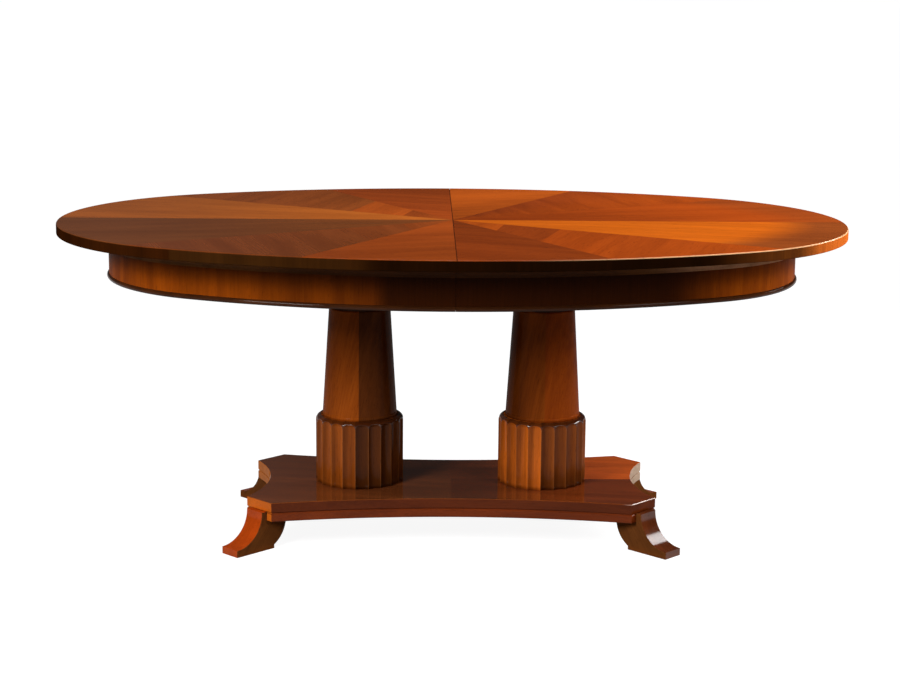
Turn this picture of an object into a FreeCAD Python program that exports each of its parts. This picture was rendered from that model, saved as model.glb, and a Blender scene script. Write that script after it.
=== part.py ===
"""Oval extension dining table on two fluted pedestals that stand on one shaped platform.

The origin is on the floor, under the middle of the table. X runs along the length, Y from the front to
the back and Z up. The two halves of the top are alike: the left one is the right one, turned by half a
turn about the middle of the table.
"""
import FreeCAD, Part
import math
import os
import Sketcher

Vector = FreeCAD.Vector
UP = Vector(0, 0, 1)

SIZES = [
    ("table_height", 762, "floor to the top's upper face"),
    ("top_length", 1890, "length of the closed oval"),
    ("top_width", 1220, "width of the oval"),
    ("end_share", 0.836, "radius of the oval's end arcs, as a share of half the width"),
    ("top_thick", 25, "thickness of the top"),
    ("seam_gap", 0.3, "from the middle of the seam to either half"),
    ("arris_radius", 3.5, "rounding of the top's upper edge"),
    ("lower_arris", 1.5, "rounding of the top's lower edge"),
    ("overhang", 121, "from the top's edge in to the apron's face"),
    ("apron_thick", 20, "thickness of the apron"),
    ("apron_depth", 108, "from the top's underside to the foot of the apron"),
    ("bead_height", 12, "height of the half round bead"),
    ("bead_swell", 5, "how far the bead stands out of the apron"),
    ("moulding_depth", 32, "height of the cove moulding"),
    ("moulding_reach", 22, "how far the moulding stands out under the top"),
    ("moulding_step", 5, "square step at the moulding's upper and lower edge"),
    ("cove_radius", 26, "radius of the moulding's hollow"),
    ("platform_length", 976, "length of the platform over its corners"),
    ("platform_width", 456, "width of the platform over its corners"),
    ("corner_cut", 62, "how much of each side a cut corner takes"),
    ("side_hollow", 48, "depth of the hollow in the long sides"),
    ("end_hollow", 42, "depth of the hollow in the short ends"),
    ("platform_height", 118, "floor to the platform's upper face"),
    ("upper_thick", 24, "thickness of the upper layer"),
    ("lower_thick", 22, "thickness of the lower layer"),
    ("edge_ease", 1.2, "chamfer of the platform's and the feet's edges"),
    ("shadow_height", 2.5, "height of the shadow line between the layers"),
    ("shadow_depth", 2.5, "depth of the shadow line"),
    ("foot_width", 56, "thickness of a bracket foot"),
    ("foot_setout", 15, "how far a foot's upper end stands out of its cut corner"),
    ("toe_height", 17, "height of the toe's upright face"),
    ("foot_root", 61, "how far a foot runs in under the platform"),
    ("heel_height", 8, "height of the heel's upright face"),
    ("pedestal_spacing", 448, "distance between the pedestals' axes"),
    ("drum_radius", 107.5, "radius over the drum's arrises"),
    ("drum_height", 174, "height of the drum"),
    ("shoulder_radius", 17, "radius of the drum's quarter round shoulder"),
    ("flute_count", 21, "flutes round a drum"),
    ("flute_depth", 5.5, "depth of a flute's hollow between its arrises"),
    ("flute_land", 0.8, "width of the arris between flutes"),
    ("flute_drop", 0.5, "how far below the shoulder a flute's head starts"),
    ("flute_end", 8.5, "height over which a flute's head runs out"),
    ("column_base_radius", 90.5, "radius of the column at its foot"),
    ("column_top_radius", 74.6, "radius of the column at its head"),
    ("column_rim", 4, "rounding of the column's upper edge"),
    ("neck_radius", 72, "radius of the neck above the column"),
    ("neck_height", 91, "height of the neck, from the column to the bearer"),
    ("bearer_thick", 34, "thickness of a bearer"),
    ("bearer_width", 150, "width of a bearer along the table"),
    ("bearer_length", 500, "length of a bearer across the table"),
    ("bearer_slope", 20, "how much is taken off a bearer's lower ends"),
    ("rod_diameter", 12, "diameter of a tie rod"),
    ("rod_bore", 14, "bore for a tie rod"),
    ("rod_end", 6, "how far a tie rod stands out of its nut"),
    ("nut_corners", 22, "nut across its corners"),
    ("thread_play", 0.1, "play between a rod and its nuts"),
    ("nut_height", 10, "height of a nut"),
    ("washer_diameter", 34, "diameter of a washer"),
    ("washer_thick", 3, "thickness of a washer"),
    ("nut_pocket", 44, "diameter of the pocket for the lower nut"),
    ("pocket_depth", 20, "depth of the pocket for the lower nut"),
    ("rail_spread", 380, "distance between the middles of the fixed rails"),
    ("rail_width", 30, "width of a fixed rail"),
    ("rail_height", 58, "height of a fixed rail"),
    ("rail_length", 900, "length of a fixed rail"),
    ("rail_gap", 4, "between a rail and the top, and a runner and the bearer"),
    ("runner_width", 24, "width of a runner"),
    ("runner_end_gap", 204, "from the apron's inner face to a runner's outer end"),
    ("runner_lap", 200, "how far a runner goes past the seam"),
    ("slide_clearance", 0.4, "play between a runner and its rail"),
    ("dovetail_depth", 9, "depth of the dovetail groove"),
    ("dovetail_mouth", 11, "height of the groove at the rail's face"),
    ("dovetail_base", 17, "height of the groove at its bottom"),
    ("slide_travel", 254, "how far each half draws out"),
    ("pinion_radius", 42, "pitch radius of the equalizer pinion"),
    ("pinion_teeth", 24, "teeth on the pinion"),
    ("tooth_tip", 0.9, "height of a tooth above the pitch line, in modules"),
    ("tooth_root", 1.2, "depth of a tooth below the pitch line, in modules"),
    ("pressure_angle", 20, "slope of the teeth, in degrees"),
    ("gear_thick", 12, "thickness of the pinion and the racks"),
    ("gear_backlash", 0.5, "play between the teeth"),
    ("gear_play", 0.3, "play of the pinion on its stud"),
    ("stud_radius", 6, "radius of the pinion's stud"),
    ("stud_flange", 18, "radius of the stud's flange and head"),
    ("stud_head", 4, "thickness of the stud's head"),
    ("rack_back", 16, "depth of a rack behind its teeth"),
    ("bridge_thick", 22, "thickness of the gear bridge"),
    ("bridge_width", 90, "width of the gear bridge along the table"),
    ("cleat_thick", 24, "thickness of a cleat"),
    ("cleat_start", 150, "from the seam to a cleat"),
    ("cleat_width", 50, "width of a cleat along the table"),
    ("cleat_gap", 2.5, "between a cleat's ends and the runners"),
    ("rack_drop", 10, "from a cleat's underside to its rack"),
    ("block_length", 60, "length of a glue block"),
    ("block_side", 26, "depth and height of a glue block"),
    ("block_first", 160, "from the seam to the first glue block"),
    ("block_second", 330, "from the seam to the second glue block"),
    ("pin_diameter", 9, "diameter of a seam pin"),
    ("pin_length", 40, "length of a seam pin"),
    ("pin_clearance", 0.3, "play round a pin in the other half"),
    ("pin_end_gap", 2, "room past the end of a pin"),
    ("pin_inner", 140, "from the middle to the inner seam pin"),
    ("pin_inset", 180, "from the top's edge to the outer seam pin"),
    ("lock_inset", 89, "from the apron's inner face to a lock"),
    ("lock_pivot", 28, "from the seam to a lever's pivot"),
    ("keeper_stud", 22, "from the seam to a keeper's stud"),
    ("lock_margin", 6, "from the seam to the lock's plates"),
    ("lock_plate_length", 60, "length of the lock's plates across the seam"),
    ("lock_plate_width", 36, "width of the lock's plates"),
    ("lock_sheet", 3, "thickness of the lock's plates"),
    ("pivot_radius", 4, "radius of a lever's pivot"),
    ("pivot_head", 8, "radius of the pivot's head"),
    ("keeper_radius", 3.5, "radius of a keeper's stud"),
    ("lever_thick", 4, "thickness of a lock lever"),
    ("lever_width", 9, "width of a lever's arm"),
    ("lever_hub", 11, "radius of a lever's hub"),
    ("lever_hook", 8, "width of a lever's hook"),
    ("lever_handle", 40, "length of a lever's handle"),
    ("hook_angle", 32, "turn that a lever's hook covers, in degrees"),
    ("lever_clearance", 0.4, "play round a lever"),
    ("hook_play", 1.2, "play between a lever's hook and the keeper's stud"),
]

doc = FreeCAD.newDocument("DoublePedestalTable")
sizes = doc.addObject("Spreadsheet::Sheet", "Sizes")
for row, (alias, number, meaning) in enumerate(SIZES, start=1):
    sizes.set("A%d" % row, meaning)
    sizes.set("B%d" % row, str(number))
    sizes.setAlias("B%d" % row, alias)
doc.recompute()


def value(expression):
    """The number that a size expression comes to."""
    return float(sizes.evalExpression(expression))


# Levels, from the top down and from the floor up
TOP_UNDERSIDE = "(Sizes.table_height - Sizes.top_thick)"
TOP_MIDDLE = "(Sizes.table_height - Sizes.top_thick / 2)"
APRON_FOOT = f"({TOP_UNDERSIDE} - Sizes.apron_depth)"
RAIL_TOP = f"({TOP_UNDERSIDE} - Sizes.rail_gap)"
RAIL_FOOT = f"({RAIL_TOP} - Sizes.rail_height)"
BEARER_FOOT = f"({RAIL_FOOT} - Sizes.bearer_thick)"
RUNNER_FOOT = f"({RAIL_FOOT} + Sizes.rail_gap)"
DOVETAIL_LEVEL = f"({RAIL_FOOT} + Sizes.rail_height / 2)"
CLEAT_FOOT = f"({TOP_UNDERSIDE} - Sizes.cleat_thick)"
GEAR_TOP = f"({CLEAT_FOOT} - Sizes.rack_drop)"
GEAR_FOOT = f"({GEAR_TOP} - Sizes.gear_thick)"
BRIDGE_FOOT = f"({RAIL_FOOT} - Sizes.bridge_thick)"
LOWER_TOP = "(Sizes.platform_height - Sizes.upper_thick)"
LOWER_FOOT = f"({LOWER_TOP} - Sizes.lower_thick)"
DRUM_TOP = "(Sizes.platform_height + Sizes.drum_height)"
COLUMN_TOP = f"({BEARER_FOOT} - Sizes.neck_height)"

# The oval: end arcs and side arcs that meet smoothly, all insets sharing the same centres
HALF_LENGTH = "(Sizes.top_length / 2)"
HALF_WIDTH = "(Sizes.top_width / 2)"
END_RADIUS = f"(Sizes.end_share * {HALF_WIDTH})"
END_CENTRE = f"({HALF_LENGTH} - {END_RADIUS})"
SIDE_RADIUS = (f"(({END_CENTRE}^2 + {HALF_WIDTH}^2 - {END_RADIUS}^2)"
               f" / (2 * ({HALF_WIDTH} - {END_RADIUS})))")
SIDE_CENTRE = f"({SIDE_RADIUS} - {HALF_WIDTH})"
CENTRE_SPAN = f"({SIDE_RADIUS} - {END_RADIUS})"
APRON_INSET = "Sizes.overhang"
APRON_INNER = "(Sizes.overhang + Sizes.apron_thick)"

# The equalizer's teeth
TOOTH_PITCH = "(2 * pi * Sizes.pinion_radius / Sizes.pinion_teeth)"
TOOTH_MODULE = "(2 * Sizes.pinion_radius / Sizes.pinion_teeth)"
TOOTH_TIP = f"(Sizes.tooth_tip * {TOOTH_MODULE})"
TOOTH_ROOT = f"(Sizes.tooth_root * {TOOTH_MODULE})"

nodes = {}


def new_body(label, turn=0):
    """An empty piece, which is built where it stands and then turned about the table's middle."""
    body = doc.addObject("PartDesign::Body", label)
    body.Label = label
    body.Placement = FreeCAD.Placement(Vector(), FreeCAD.Rotation(UP, turn))
    nodes[label] = body
    return body


def origin_feature(body, role):
    """A plane or axis of a piece's own origin."""
    return [feature for feature in body.Origin.OriginFeatures if feature.Role == role][0]


def new_sketch(body, plane, level):
    """An empty sketch at a level above one of the piece's own origin planes."""
    sketch = body.newObject("Sketcher::SketchObject", body.Name + "_sketch")
    sketch.AttachmentSupport = (origin_feature(body, plane), [""])
    sketch.MapMode = "FlatFace"
    sketch.setExpression("AttachmentOffset.Base.z", level)
    return sketch


def dimension(sketch, kind, places, expression):
    """A dimension of a sketch, bound to a size."""
    index = sketch.addConstraint(Sketcher.Constraint(kind, *places, value(expression)))
    sketch.setExpression("Constraints[%d]" % index, str(expression))


def add_arc(sketch, start, end, radius, turn):
    """An arc of less than half a circle, to the left (turn 1) or right (turn -1) of its way."""
    chord = end - start
    rise = math.sqrt(max(radius ** 2 - (chord.Length / 2) ** 2, 0.0))
    aside = Vector(-chord.y, chord.x, 0).normalize()
    centre = (start + end) * 0.5 + aside * (rise * turn)
    first, last = (start, end) if turn > 0 else (end, start)
    angles = [math.atan2(point.y - centre.y, point.x - centre.x) for point in (first, last)]
    if angles[1] < angles[0]:
        angles[1] += 2 * math.pi
    circle = Part.Circle(centre, UP, radius)
    return sketch.addGeometry(Part.ArcOfCircle(circle, *angles), False)


def outline(sketch, corners, closed=True):
    """A dimensioned outline. Each corner is (x, y), or (x, y, radius, turn) where an arc leaves it."""
    points = [Vector(value(corner[0]), value(corner[1]), 0) for corner in corners]
    count = len(corners) if closed else len(corners) - 1
    starts = []
    ends = []
    for index in range(count):
        corner = corners[index]
        start = points[index]
        end = points[(index + 1) % len(points)]
        if len(corner) == 2:
            edge = sketch.addGeometry(Part.LineSegment(start, end), False)
            starts.append((edge, 1))
            ends.append((edge, 2))
            continue
        edge = add_arc(sketch, start, end, value(corner[2]), corner[3])
        starts.append((edge, 1 if corner[3] > 0 else 2))
        ends.append((edge, 2 if corner[3] > 0 else 1))
        dimension(sketch, "Radius", (edge,), corner[2])
    for index in range(count if closed else count - 1):
        after = starts[(index + 1) % count]
        sketch.addConstraint(Sketcher.Constraint("Coincident", *ends[index], *after))
    vertices = starts if closed else starts + [ends[-1]]
    for vertex, corner in zip(vertices, corners):
        dimension(sketch, "DistanceX", (-1, 1) + vertex, corner[0])
        dimension(sketch, "DistanceY", (-1, 1) + vertex, corner[1])
    return sketch


def circle(sketch, x, y, radius):
    """A dimensioned circle."""
    centre = Vector(value(x), value(y), 0)
    edge = sketch.addGeometry(Part.Circle(centre, UP, value(radius)), False)
    dimension(sketch, "Radius", (edge,), radius)
    dimension(sketch, "DistanceX", (-1, 1, edge, 3), x)
    dimension(sketch, "DistanceY", (-1, 1, edge, 3), y)
    return sketch


def rectangle(sketch, left, right, low, high):
    """A dimensioned rectangle."""
    return outline(sketch, [(left, low), (right, low), (right, high), (left, high)])


def pad(body, sketch, length, reverse=False, symmetric=False):
    """Material added along the sketch's normal."""
    feature = body.newObject("PartDesign::Pad", body.Name + "_pad")
    feature.Profile = sketch
    feature.setExpression("Length", length)
    feature.Reversed = reverse
    if symmetric:
        feature.SideType = "Symmetric"
    doc.recompute()
    return feature


def pocket(body, sketch, length=None, reverse=False):
    """Material taken away, against the sketch's normal unless reversed, and right through with no length."""
    before = body.Shape.Volume
    feature = body.newObject("PartDesign::Pocket", body.Name + "_pocket")
    feature.Profile = sketch
    feature.Reversed = reverse
    if length is None:
        feature.Type = "ThroughAll"
    else:
        feature.setExpression("Length", length)
    doc.recompute()
    if not body.Shape.Volume < before:
        raise RuntimeError(body.Label + ": the pocket cuts nothing")
    return feature


def turned(label, x, corners):
    """A turned piece with an upright axis at x. Corners are (radius, level)."""
    body = new_body(label)
    outline(new_sketch(body, "XZ_Plane", "0"), corners)
    feature = body.newObject("PartDesign::Revolution", label + "_turning")
    feature.Profile = body.Group[0]
    feature.ReferenceAxis = (body.Group[0], ["V_Axis"])
    feature.Angle = 360
    body.setExpression("Placement.Base.x", x)
    doc.recompute()
    return body


def picked_edges(body, wanted):
    """A piece's last feature, and the names of those of its edges that a test picks."""
    base = body.Tip
    names = []
    for index, edge in enumerate(base.Shape.Edges, start=1):
        if wanted(edge):
            names.append("Edge%d" % index)
    return base, names


def round_edges(body, radius, wanted):
    """Rounds the edges that a test picks."""
    picked = picked_edges(body, wanted)
    feature = body.newObject("PartDesign::Fillet", body.Name + "_rounding")
    feature.Base = picked
    feature.setExpression("Radius", radius)
    doc.recompute()


def ease_edges(body, size, wanted):
    """Takes a small chamfer off the edges that a test picks."""
    picked = picked_edges(body, wanted)
    feature = body.newObject("PartDesign::Chamfer", body.Name + "_easing")
    feature.Base = picked
    feature.setExpression("Size", size)
    doc.recompute()


def lies_flat(edge):
    """Whether an edge is level."""
    return edge.BoundBox.ZLength < 0.01


def half_oval(inset):
    """Corners of the right half of the oval, set in from the top's edge, from the seam's front end round."""
    seam = f"(sqrt(({SIDE_RADIUS} - {inset})^2 - Sizes.seam_gap^2) - {SIDE_CENTRE})"
    join_x = f"({END_CENTRE} + ({END_RADIUS} - {inset}) * {END_CENTRE} / {CENTRE_SPAN})"
    join_y = f"(({END_RADIUS} - {inset}) * {SIDE_CENTRE} / {CENTRE_SPAN})"
    side = f"({SIDE_RADIUS} - {inset})"
    end = f"({END_RADIUS} - {inset})"
    return [
        ("Sizes.seam_gap", f"-{seam}", side, 1),
        (join_x, f"-{join_y}", end, 1),
        (join_x, join_y, side, 1),
        ("Sizes.seam_gap", seam),
    ]


def half_ring(outer, inner):
    """Corners of the band between two insets of the half oval."""
    outside = half_oval(outer)
    inside = half_oval(inner)
    back = [
        inside[3] + (inside[2][2], -1),
        inside[2][:2] + (inside[1][2], -1),
        inside[1][:2] + (inside[0][2], -1),
        inside[0][:2],
    ]
    return outside + back


def swept(label, turn, inset, level, corners):
    """A moulding that follows the half oval. Corners are (distance out from the inset, height)."""
    body = new_body(label, turn)
    path = outline(new_sketch(body, "XY_Plane", level), half_oval(inset), closed=False)
    seam = half_oval(inset)[3][1]
    placed = [(f"({seam} + {corner[0]})", f"({level} + {corner[1]})") + corner[2:] for corner in corners]
    profile = outline(new_sketch(body, "YZ_Plane", "Sizes.seam_gap"), placed)
    doc.recompute()
    feature = body.newObject("PartDesign::AdditivePipe", label + "_sweep")
    feature.Profile = profile
    feature.Spine = (path, ["Edge1", "Edge2", "Edge3"])
    doc.recompute()
    return body


def cylinder(x, y, level, radius, height):
    """A plain upright cylinder, for fastenings."""
    solid = doc.addObject("Part::Cylinder", "round")
    solid.setExpression("Radius", radius)
    solid.setExpression("Height", height)
    solid.setExpression("Placement.Base.x", x)
    solid.setExpression("Placement.Base.y", y)
    solid.setExpression("Placement.Base.z", level)
    return solid


def bored(solid, bore, x, level, height):
    """A fastening with a hole up its axis."""
    hole = doc.addObject("Part::Cut", "bored")
    hole.Base = solid
    hole.Tool = cylinder(x, "0", level, bore, height)
    return hole


def group(label, solids, turn=0):
    """Several like solids that make one node."""
    together = doc.addObject("Part::Compound", label)
    together.Label = label
    together.Links = solids
    together.Placement = FreeCAD.Placement(Vector(), FreeCAD.Rotation(UP, turn))
    nodes[label] = together


# Platform: two layers with cut corners and hollow sides, and a shadow line between them
def platform_outline(inset):
    long_x = f"(Sizes.platform_length / 2 - {inset})"
    long_y = f"(Sizes.platform_width / 2 - Sizes.corner_cut - (sqrt(2) - 1) * {inset})"
    short_x = f"(Sizes.platform_length / 2 - Sizes.corner_cut - (sqrt(2) - 1) * {inset})"
    short_y = f"(Sizes.platform_width / 2 - {inset})"
    side_radius = f"(({short_x}^2 + Sizes.side_hollow^2) / (2 * Sizes.side_hollow))"
    end_radius = f"(({long_y}^2 + Sizes.end_hollow^2) / (2 * Sizes.end_hollow))"
    return [
        (f"-{short_x}", f"-{short_y}", side_radius, -1),
        (short_x, f"-{short_y}"),
        (long_x, f"-{long_y}", end_radius, -1),
        (long_x, long_y),
        (short_x, short_y, side_radius, -1),
        (f"-{short_x}", short_y),
        (f"-{long_x}", long_y, end_radius, -1),
        (f"-{long_x}", f"-{long_y}"),
    ]


PEDESTALS = [("left", "(-Sizes.pedestal_spacing / 2)"), ("right", "(Sizes.pedestal_spacing / 2)")]


def rod_holes(body, level, radius):
    """A sketch of the two holes on the pedestals' axes."""
    sketch = new_sketch(body, "XY_Plane", level)
    for side, x in PEDESTALS:
        circle(sketch, x, "0", radius)
    return sketch


platform_upper = new_body("platform_upper")
pad(platform_upper, outline(new_sketch(platform_upper, "XY_Plane", LOWER_TOP), platform_outline("0")),
    "Sizes.upper_thick")
ease_edges(platform_upper, "Sizes.edge_ease", lies_flat)
pocket(platform_upper, rod_holes(platform_upper, "Sizes.platform_height", "Sizes.rod_bore / 2"))

platform_lower = new_body("platform_lower")
pad(platform_lower, outline(new_sketch(platform_lower, "XY_Plane", LOWER_FOOT), platform_outline("0")),
    "Sizes.lower_thick - Sizes.shadow_height")
ease_edges(platform_lower, "Sizes.edge_ease", lies_flat)
pad(platform_lower, outline(new_sketch(platform_lower, "XY_Plane", LOWER_TOP),
                            platform_outline("Sizes.shadow_depth")),
    "Sizes.shadow_height", reverse=True)
pocket(platform_lower, rod_holes(platform_lower, LOWER_TOP, "Sizes.rod_bore / 2"))
pocket(platform_lower, rod_holes(platform_lower, LOWER_FOOT, "Sizes.nut_pocket / 2"), "Sizes.pocket_depth",
       reverse=True)

# Feet: a bracket on each cut corner, drawn in the upright plane through the corner
FOOT_CURVE = f"({LOWER_TOP} - Sizes.toe_height)"
TOE = f"(Sizes.foot_setout + {FOOT_CURVE})"
HEEL = (f"({LOWER_FOOT} - Sizes.foot_root"
        f" - sqrt({LOWER_FOOT}^2 - ({LOWER_FOOT} - Sizes.heel_height)^2))")
CORNER_X = "(Sizes.platform_length / 2 - Sizes.corner_cut / 2)"
CORNER_Y = "(Sizes.platform_width / 2 - Sizes.corner_cut / 2)"

FOOT_PROFILE = [
    (HEEL, "0"),
    (TOE, "0"),
    (TOE, "Sizes.toe_height", FOOT_CURVE, -1),
    ("Sizes.foot_setout", LOWER_TOP),
    ("0", LOWER_TOP),
    ("0", LOWER_FOOT),
    ("-Sizes.foot_root", LOWER_FOOT, LOWER_FOOT, 1),
    (HEEL, "Sizes.heel_height"),
]


def on_foot_side(edge):
    """Whether an edge bounds the outer curve, the toe or the inner curve on one of a foot's sides."""
    box = edge.BoundBox
    outer = box.XMax > value("Sizes.foot_setout") + 1 and box.ZMax > 1
    inner = box.XMin < value(HEEL) - 1 and box.ZLength > 1
    return box.YLength < 0.01 and (outer or inner)


for side, along in (("left", -1), ("right", 1)):
    for face, across in (("front", -1), ("back", 1)):
        heading = math.degrees(math.atan2(across, along))
        foot = new_body(f"foot_{face}_{side}", heading)
        foot_sketch = outline(new_sketch(foot, "XZ_Plane", "0"), FOOT_PROFILE)
        pad(foot, foot_sketch, "Sizes.foot_width", symmetric=True)
        ease_edges(foot, "Sizes.edge_ease", on_foot_side)
        foot.setExpression("Placement.Base.x", f"{along} * {CORNER_X}")
        foot.setExpression("Placement.Base.y", f"{across} * {CORNER_Y}")

# Pedestals: fluted drum, tapering column and neck on each axis, with a bore for the tie rod
BORE = "Sizes.rod_bore / 2"
SHOULDER = "Sizes.shoulder_radius"

drums = []
for side, x in PEDESTALS:
    drums.append(turned(f"drum_{side}", x, [
        (BORE, "Sizes.platform_height"),
        ("Sizes.drum_radius", "Sizes.platform_height"),
        ("Sizes.drum_radius", f"({DRUM_TOP} - {SHOULDER})", SHOULDER, 1),
        (f"(Sizes.drum_radius - {SHOULDER})", DRUM_TOP),
        (BORE, DRUM_TOP),
    ]))

    column = turned(f"column_{side}", x, [
        (BORE, DRUM_TOP),
        ("Sizes.column_base_radius", DRUM_TOP),
        ("Sizes.column_top_radius", COLUMN_TOP),
        (BORE, COLUMN_TOP),
    ])
    rim_level = value(COLUMN_TOP)
    rim_reach = value("Sizes.column_top_radius")
    round_edges(column, "Sizes.column_rim", lambda edge: (
        abs(edge.BoundBox.ZMin - rim_level) < 0.01 and abs(edge.BoundBox.YMax - rim_reach) < 0.01
        and len(edge.Vertexes) == 1))

    turned(f"neck_{side}", x, [
        (BORE, COLUMN_TOP),
        ("Sizes.neck_radius", COLUMN_TOP),
        ("Sizes.neck_radius", BEARER_FOOT),
        (BORE, BEARER_FOOT),
    ])

    bearer = new_body(f"bearer_{side}")
    half_bearer = "Sizes.bearer_length / 2"
    bearer_sketch = outline(new_sketch(bearer, "YZ_Plane", f"{x} - Sizes.bearer_width / 2"), [
        (f"-({half_bearer} - Sizes.bearer_slope)", BEARER_FOOT),
        (f"({half_bearer} - Sizes.bearer_slope)", BEARER_FOOT),
        (half_bearer, f"({BEARER_FOOT} + Sizes.bearer_slope)"),
        (half_bearer, RAIL_FOOT),
        (f"-{half_bearer}", RAIL_FOOT),
        (f"-{half_bearer}", f"({BEARER_FOOT} + Sizes.bearer_slope)"),
    ])
    pad(bearer, bearer_sketch, "Sizes.bearer_width")
    pocket(bearer, circle(new_sketch(bearer, "XY_Plane", RAIL_FOOT), x, "0", BORE))

# Tie rods: each passes from the pocket under the platform up through the bearer
LOWER_WASHER = f"({LOWER_FOOT} + Sizes.pocket_depth - Sizes.washer_thick)"
LOWER_NUT = f"({LOWER_WASHER} - Sizes.nut_height)"
UPPER_NUT = f"({RAIL_FOOT} + Sizes.washer_thick)"
ROD_FOOT = f"({LOWER_NUT} - Sizes.rod_end)"
ROD_HEAD = f"({UPPER_NUT} + Sizes.nut_height + Sizes.rod_end)"

rods = []
nuts = []
for side, x in PEDESTALS:
    rods.append(cylinder(x, "0", ROD_FOOT, "Sizes.rod_diameter / 2", f"{ROD_HEAD} - {ROD_FOOT}"))
    for nut_level, washer_level in ((LOWER_NUT, LOWER_WASHER), (UPPER_NUT, RAIL_FOOT)):
        nut = doc.addObject("Part::Prism", "nut")
        nut.Polygon = 6
        nut.setExpression("Circumradius", "Sizes.nut_corners / 2")
        nut.setExpression("Height", "Sizes.nut_height")
        nut.setExpression("Placement.Base.x", x)
        nut.setExpression("Placement.Base.z", nut_level)
        nut_bore = "Sizes.rod_diameter / 2 + Sizes.thread_play"
        nuts.append(bored(nut, nut_bore, x, nut_level, "Sizes.nut_height"))
        washer = cylinder(x, "0", washer_level, "Sizes.washer_diameter / 2", "Sizes.washer_thick")
        nuts.append(bored(washer, BORE, x, washer_level, "Sizes.washer_thick"))
group("tie_rods", rods)
group("rod_nuts", nuts)

# Fixed slide rails with a dovetail groove on both sides
RAIL_MIDDLE = "(Sizes.rail_spread / 2)"
MOUTH = "Sizes.dovetail_mouth / 2"
BASE = "Sizes.dovetail_base / 2"

for face, across in (("front", -1), ("back", 1)):
    rail = new_body(f"rail_{face}")
    near = f"({across} * {RAIL_MIDDLE} - Sizes.rail_width / 2)"
    far = f"({across} * {RAIL_MIDDLE} + Sizes.rail_width / 2)"
    rail_sketch = outline(new_sketch(rail, "YZ_Plane", "-Sizes.rail_length / 2"), [
        (near, RAIL_FOOT),
        (far, RAIL_FOOT),
        (far, f"({DOVETAIL_LEVEL} - {MOUTH})"),
        (f"({far} - Sizes.dovetail_depth)", f"({DOVETAIL_LEVEL} - {BASE})"),
        (f"({far} - Sizes.dovetail_depth)", f"({DOVETAIL_LEVEL} + {BASE})"),
        (far, f"({DOVETAIL_LEVEL} + {MOUTH})"),
        (far, RAIL_TOP),
        (near, RAIL_TOP),
        (near, f"({DOVETAIL_LEVEL} + {MOUTH})"),
        (f"({near} + Sizes.dovetail_depth)", f"({DOVETAIL_LEVEL} + {BASE})"),
        (f"({near} + Sizes.dovetail_depth)", f"({DOVETAIL_LEVEL} - {BASE})"),
        (near, f"({DOVETAIL_LEVEL} - {MOUTH})"),
    ])
    pad(rail, rail_sketch, "Sizes.rail_length")

# Equalizer: a pinion on a stud, carried by a bridge under the rails
bridge = new_body("gear_bridge")
bridge_reach = f"({RAIL_MIDDLE} + Sizes.rail_width / 2)"
pad(bridge, rectangle(new_sketch(bridge, "XY_Plane", BRIDGE_FOOT), "-Sizes.bridge_width / 2",
                      "Sizes.bridge_width / 2", f"-{bridge_reach}", bridge_reach), "Sizes.bridge_thick")

STUD_SHOULDER = f"({GEAR_FOOT} - Sizes.gear_play)"
STUD_HEAD = f"({GEAR_TOP} + Sizes.gear_play)"
turned("pinion_stud", "0", [
    ("0", RAIL_FOOT),
    ("Sizes.stud_flange", RAIL_FOOT),
    ("Sizes.stud_flange", STUD_SHOULDER),
    ("Sizes.stud_radius", STUD_SHOULDER),
    ("Sizes.stud_radius", STUD_HEAD),
    ("Sizes.stud_flange", STUD_HEAD),
    ("Sizes.stud_flange", f"({STUD_HEAD} + Sizes.stud_head)"),
    ("0", f"({STUD_HEAD} + Sizes.stud_head)"),
])


def pinion_shape():
    """The pinion, with involute flanks, and the space between two teeth at its front and its back."""
    teeth = int(value("Sizes.pinion_teeth"))
    pitch_radius = value("Sizes.pinion_radius")
    slope = math.radians(value("Sizes.pressure_angle"))
    base_radius = pitch_radius * math.cos(slope)
    tip_radius = pitch_radius + value(TOOTH_TIP)
    root_radius = pitch_radius - value(TOOTH_ROOT)
    half_tooth = math.pi / (2 * teeth) - value("Sizes.gear_backlash") / (4 * pitch_radius)

    def flank(radius, middle, hand):
        lean = math.acos(min(base_radius / radius, 1.0))
        spread = half_tooth + math.tan(slope) - slope - math.tan(lean) + lean
        angle = middle + hand * spread
        return Vector(radius * math.cos(angle), radius * math.sin(angle), 0)

    edges = []
    step = 2 * math.pi / teeth
    waist_radius = (base_radius + tip_radius) / 2
    for tooth in range(teeth):
        middle = -math.pi / 2 + (tooth + 0.5) * step
        low = flank(base_radius, middle, -1)
        high = flank(base_radius, middle, 1)
        root = low * (root_radius / base_radius)
        root_end = high * (root_radius / base_radius)
        next_root = FreeCAD.Rotation(UP, math.degrees(step)).multVec(root)
        tip = [flank(tip_radius, middle, hand) for hand in (-1, 1)]
        valley = middle + step / 2
        edges.append(Part.LineSegment(root, low).toShape())
        edges.append(Part.Arc(low, flank(waist_radius, middle, -1), tip[0]).toShape())
        edges.append(Part.LineSegment(tip[0], tip[1]).toShape())
        edges.append(Part.Arc(tip[1], flank(waist_radius, middle, 1), high).toShape())
        edges.append(Part.LineSegment(high, root_end).toShape())
        bottom = Vector(root_radius * math.cos(valley), root_radius * math.sin(valley), 0)
        edges.append(Part.Arc(root_end, bottom, next_root).toShape())
    thick = value("Sizes.gear_thick")
    bore = Part.makeCylinder(value("Sizes.stud_radius + Sizes.gear_play"), thick)
    return Part.Face(Part.Wire(edges)).extrude(UP * thick).cut(bore)


pinion = doc.addObject("Part::Feature", "equalizer_pinion")
pinion.Label = "equalizer_pinion"
pinion.Shape = pinion_shape()
pinion.Placement = FreeCAD.Placement(Vector(0, 0, value(GEAR_FOOT)), FreeCAD.Rotation())
nodes["equalizer_pinion"] = pinion

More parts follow.
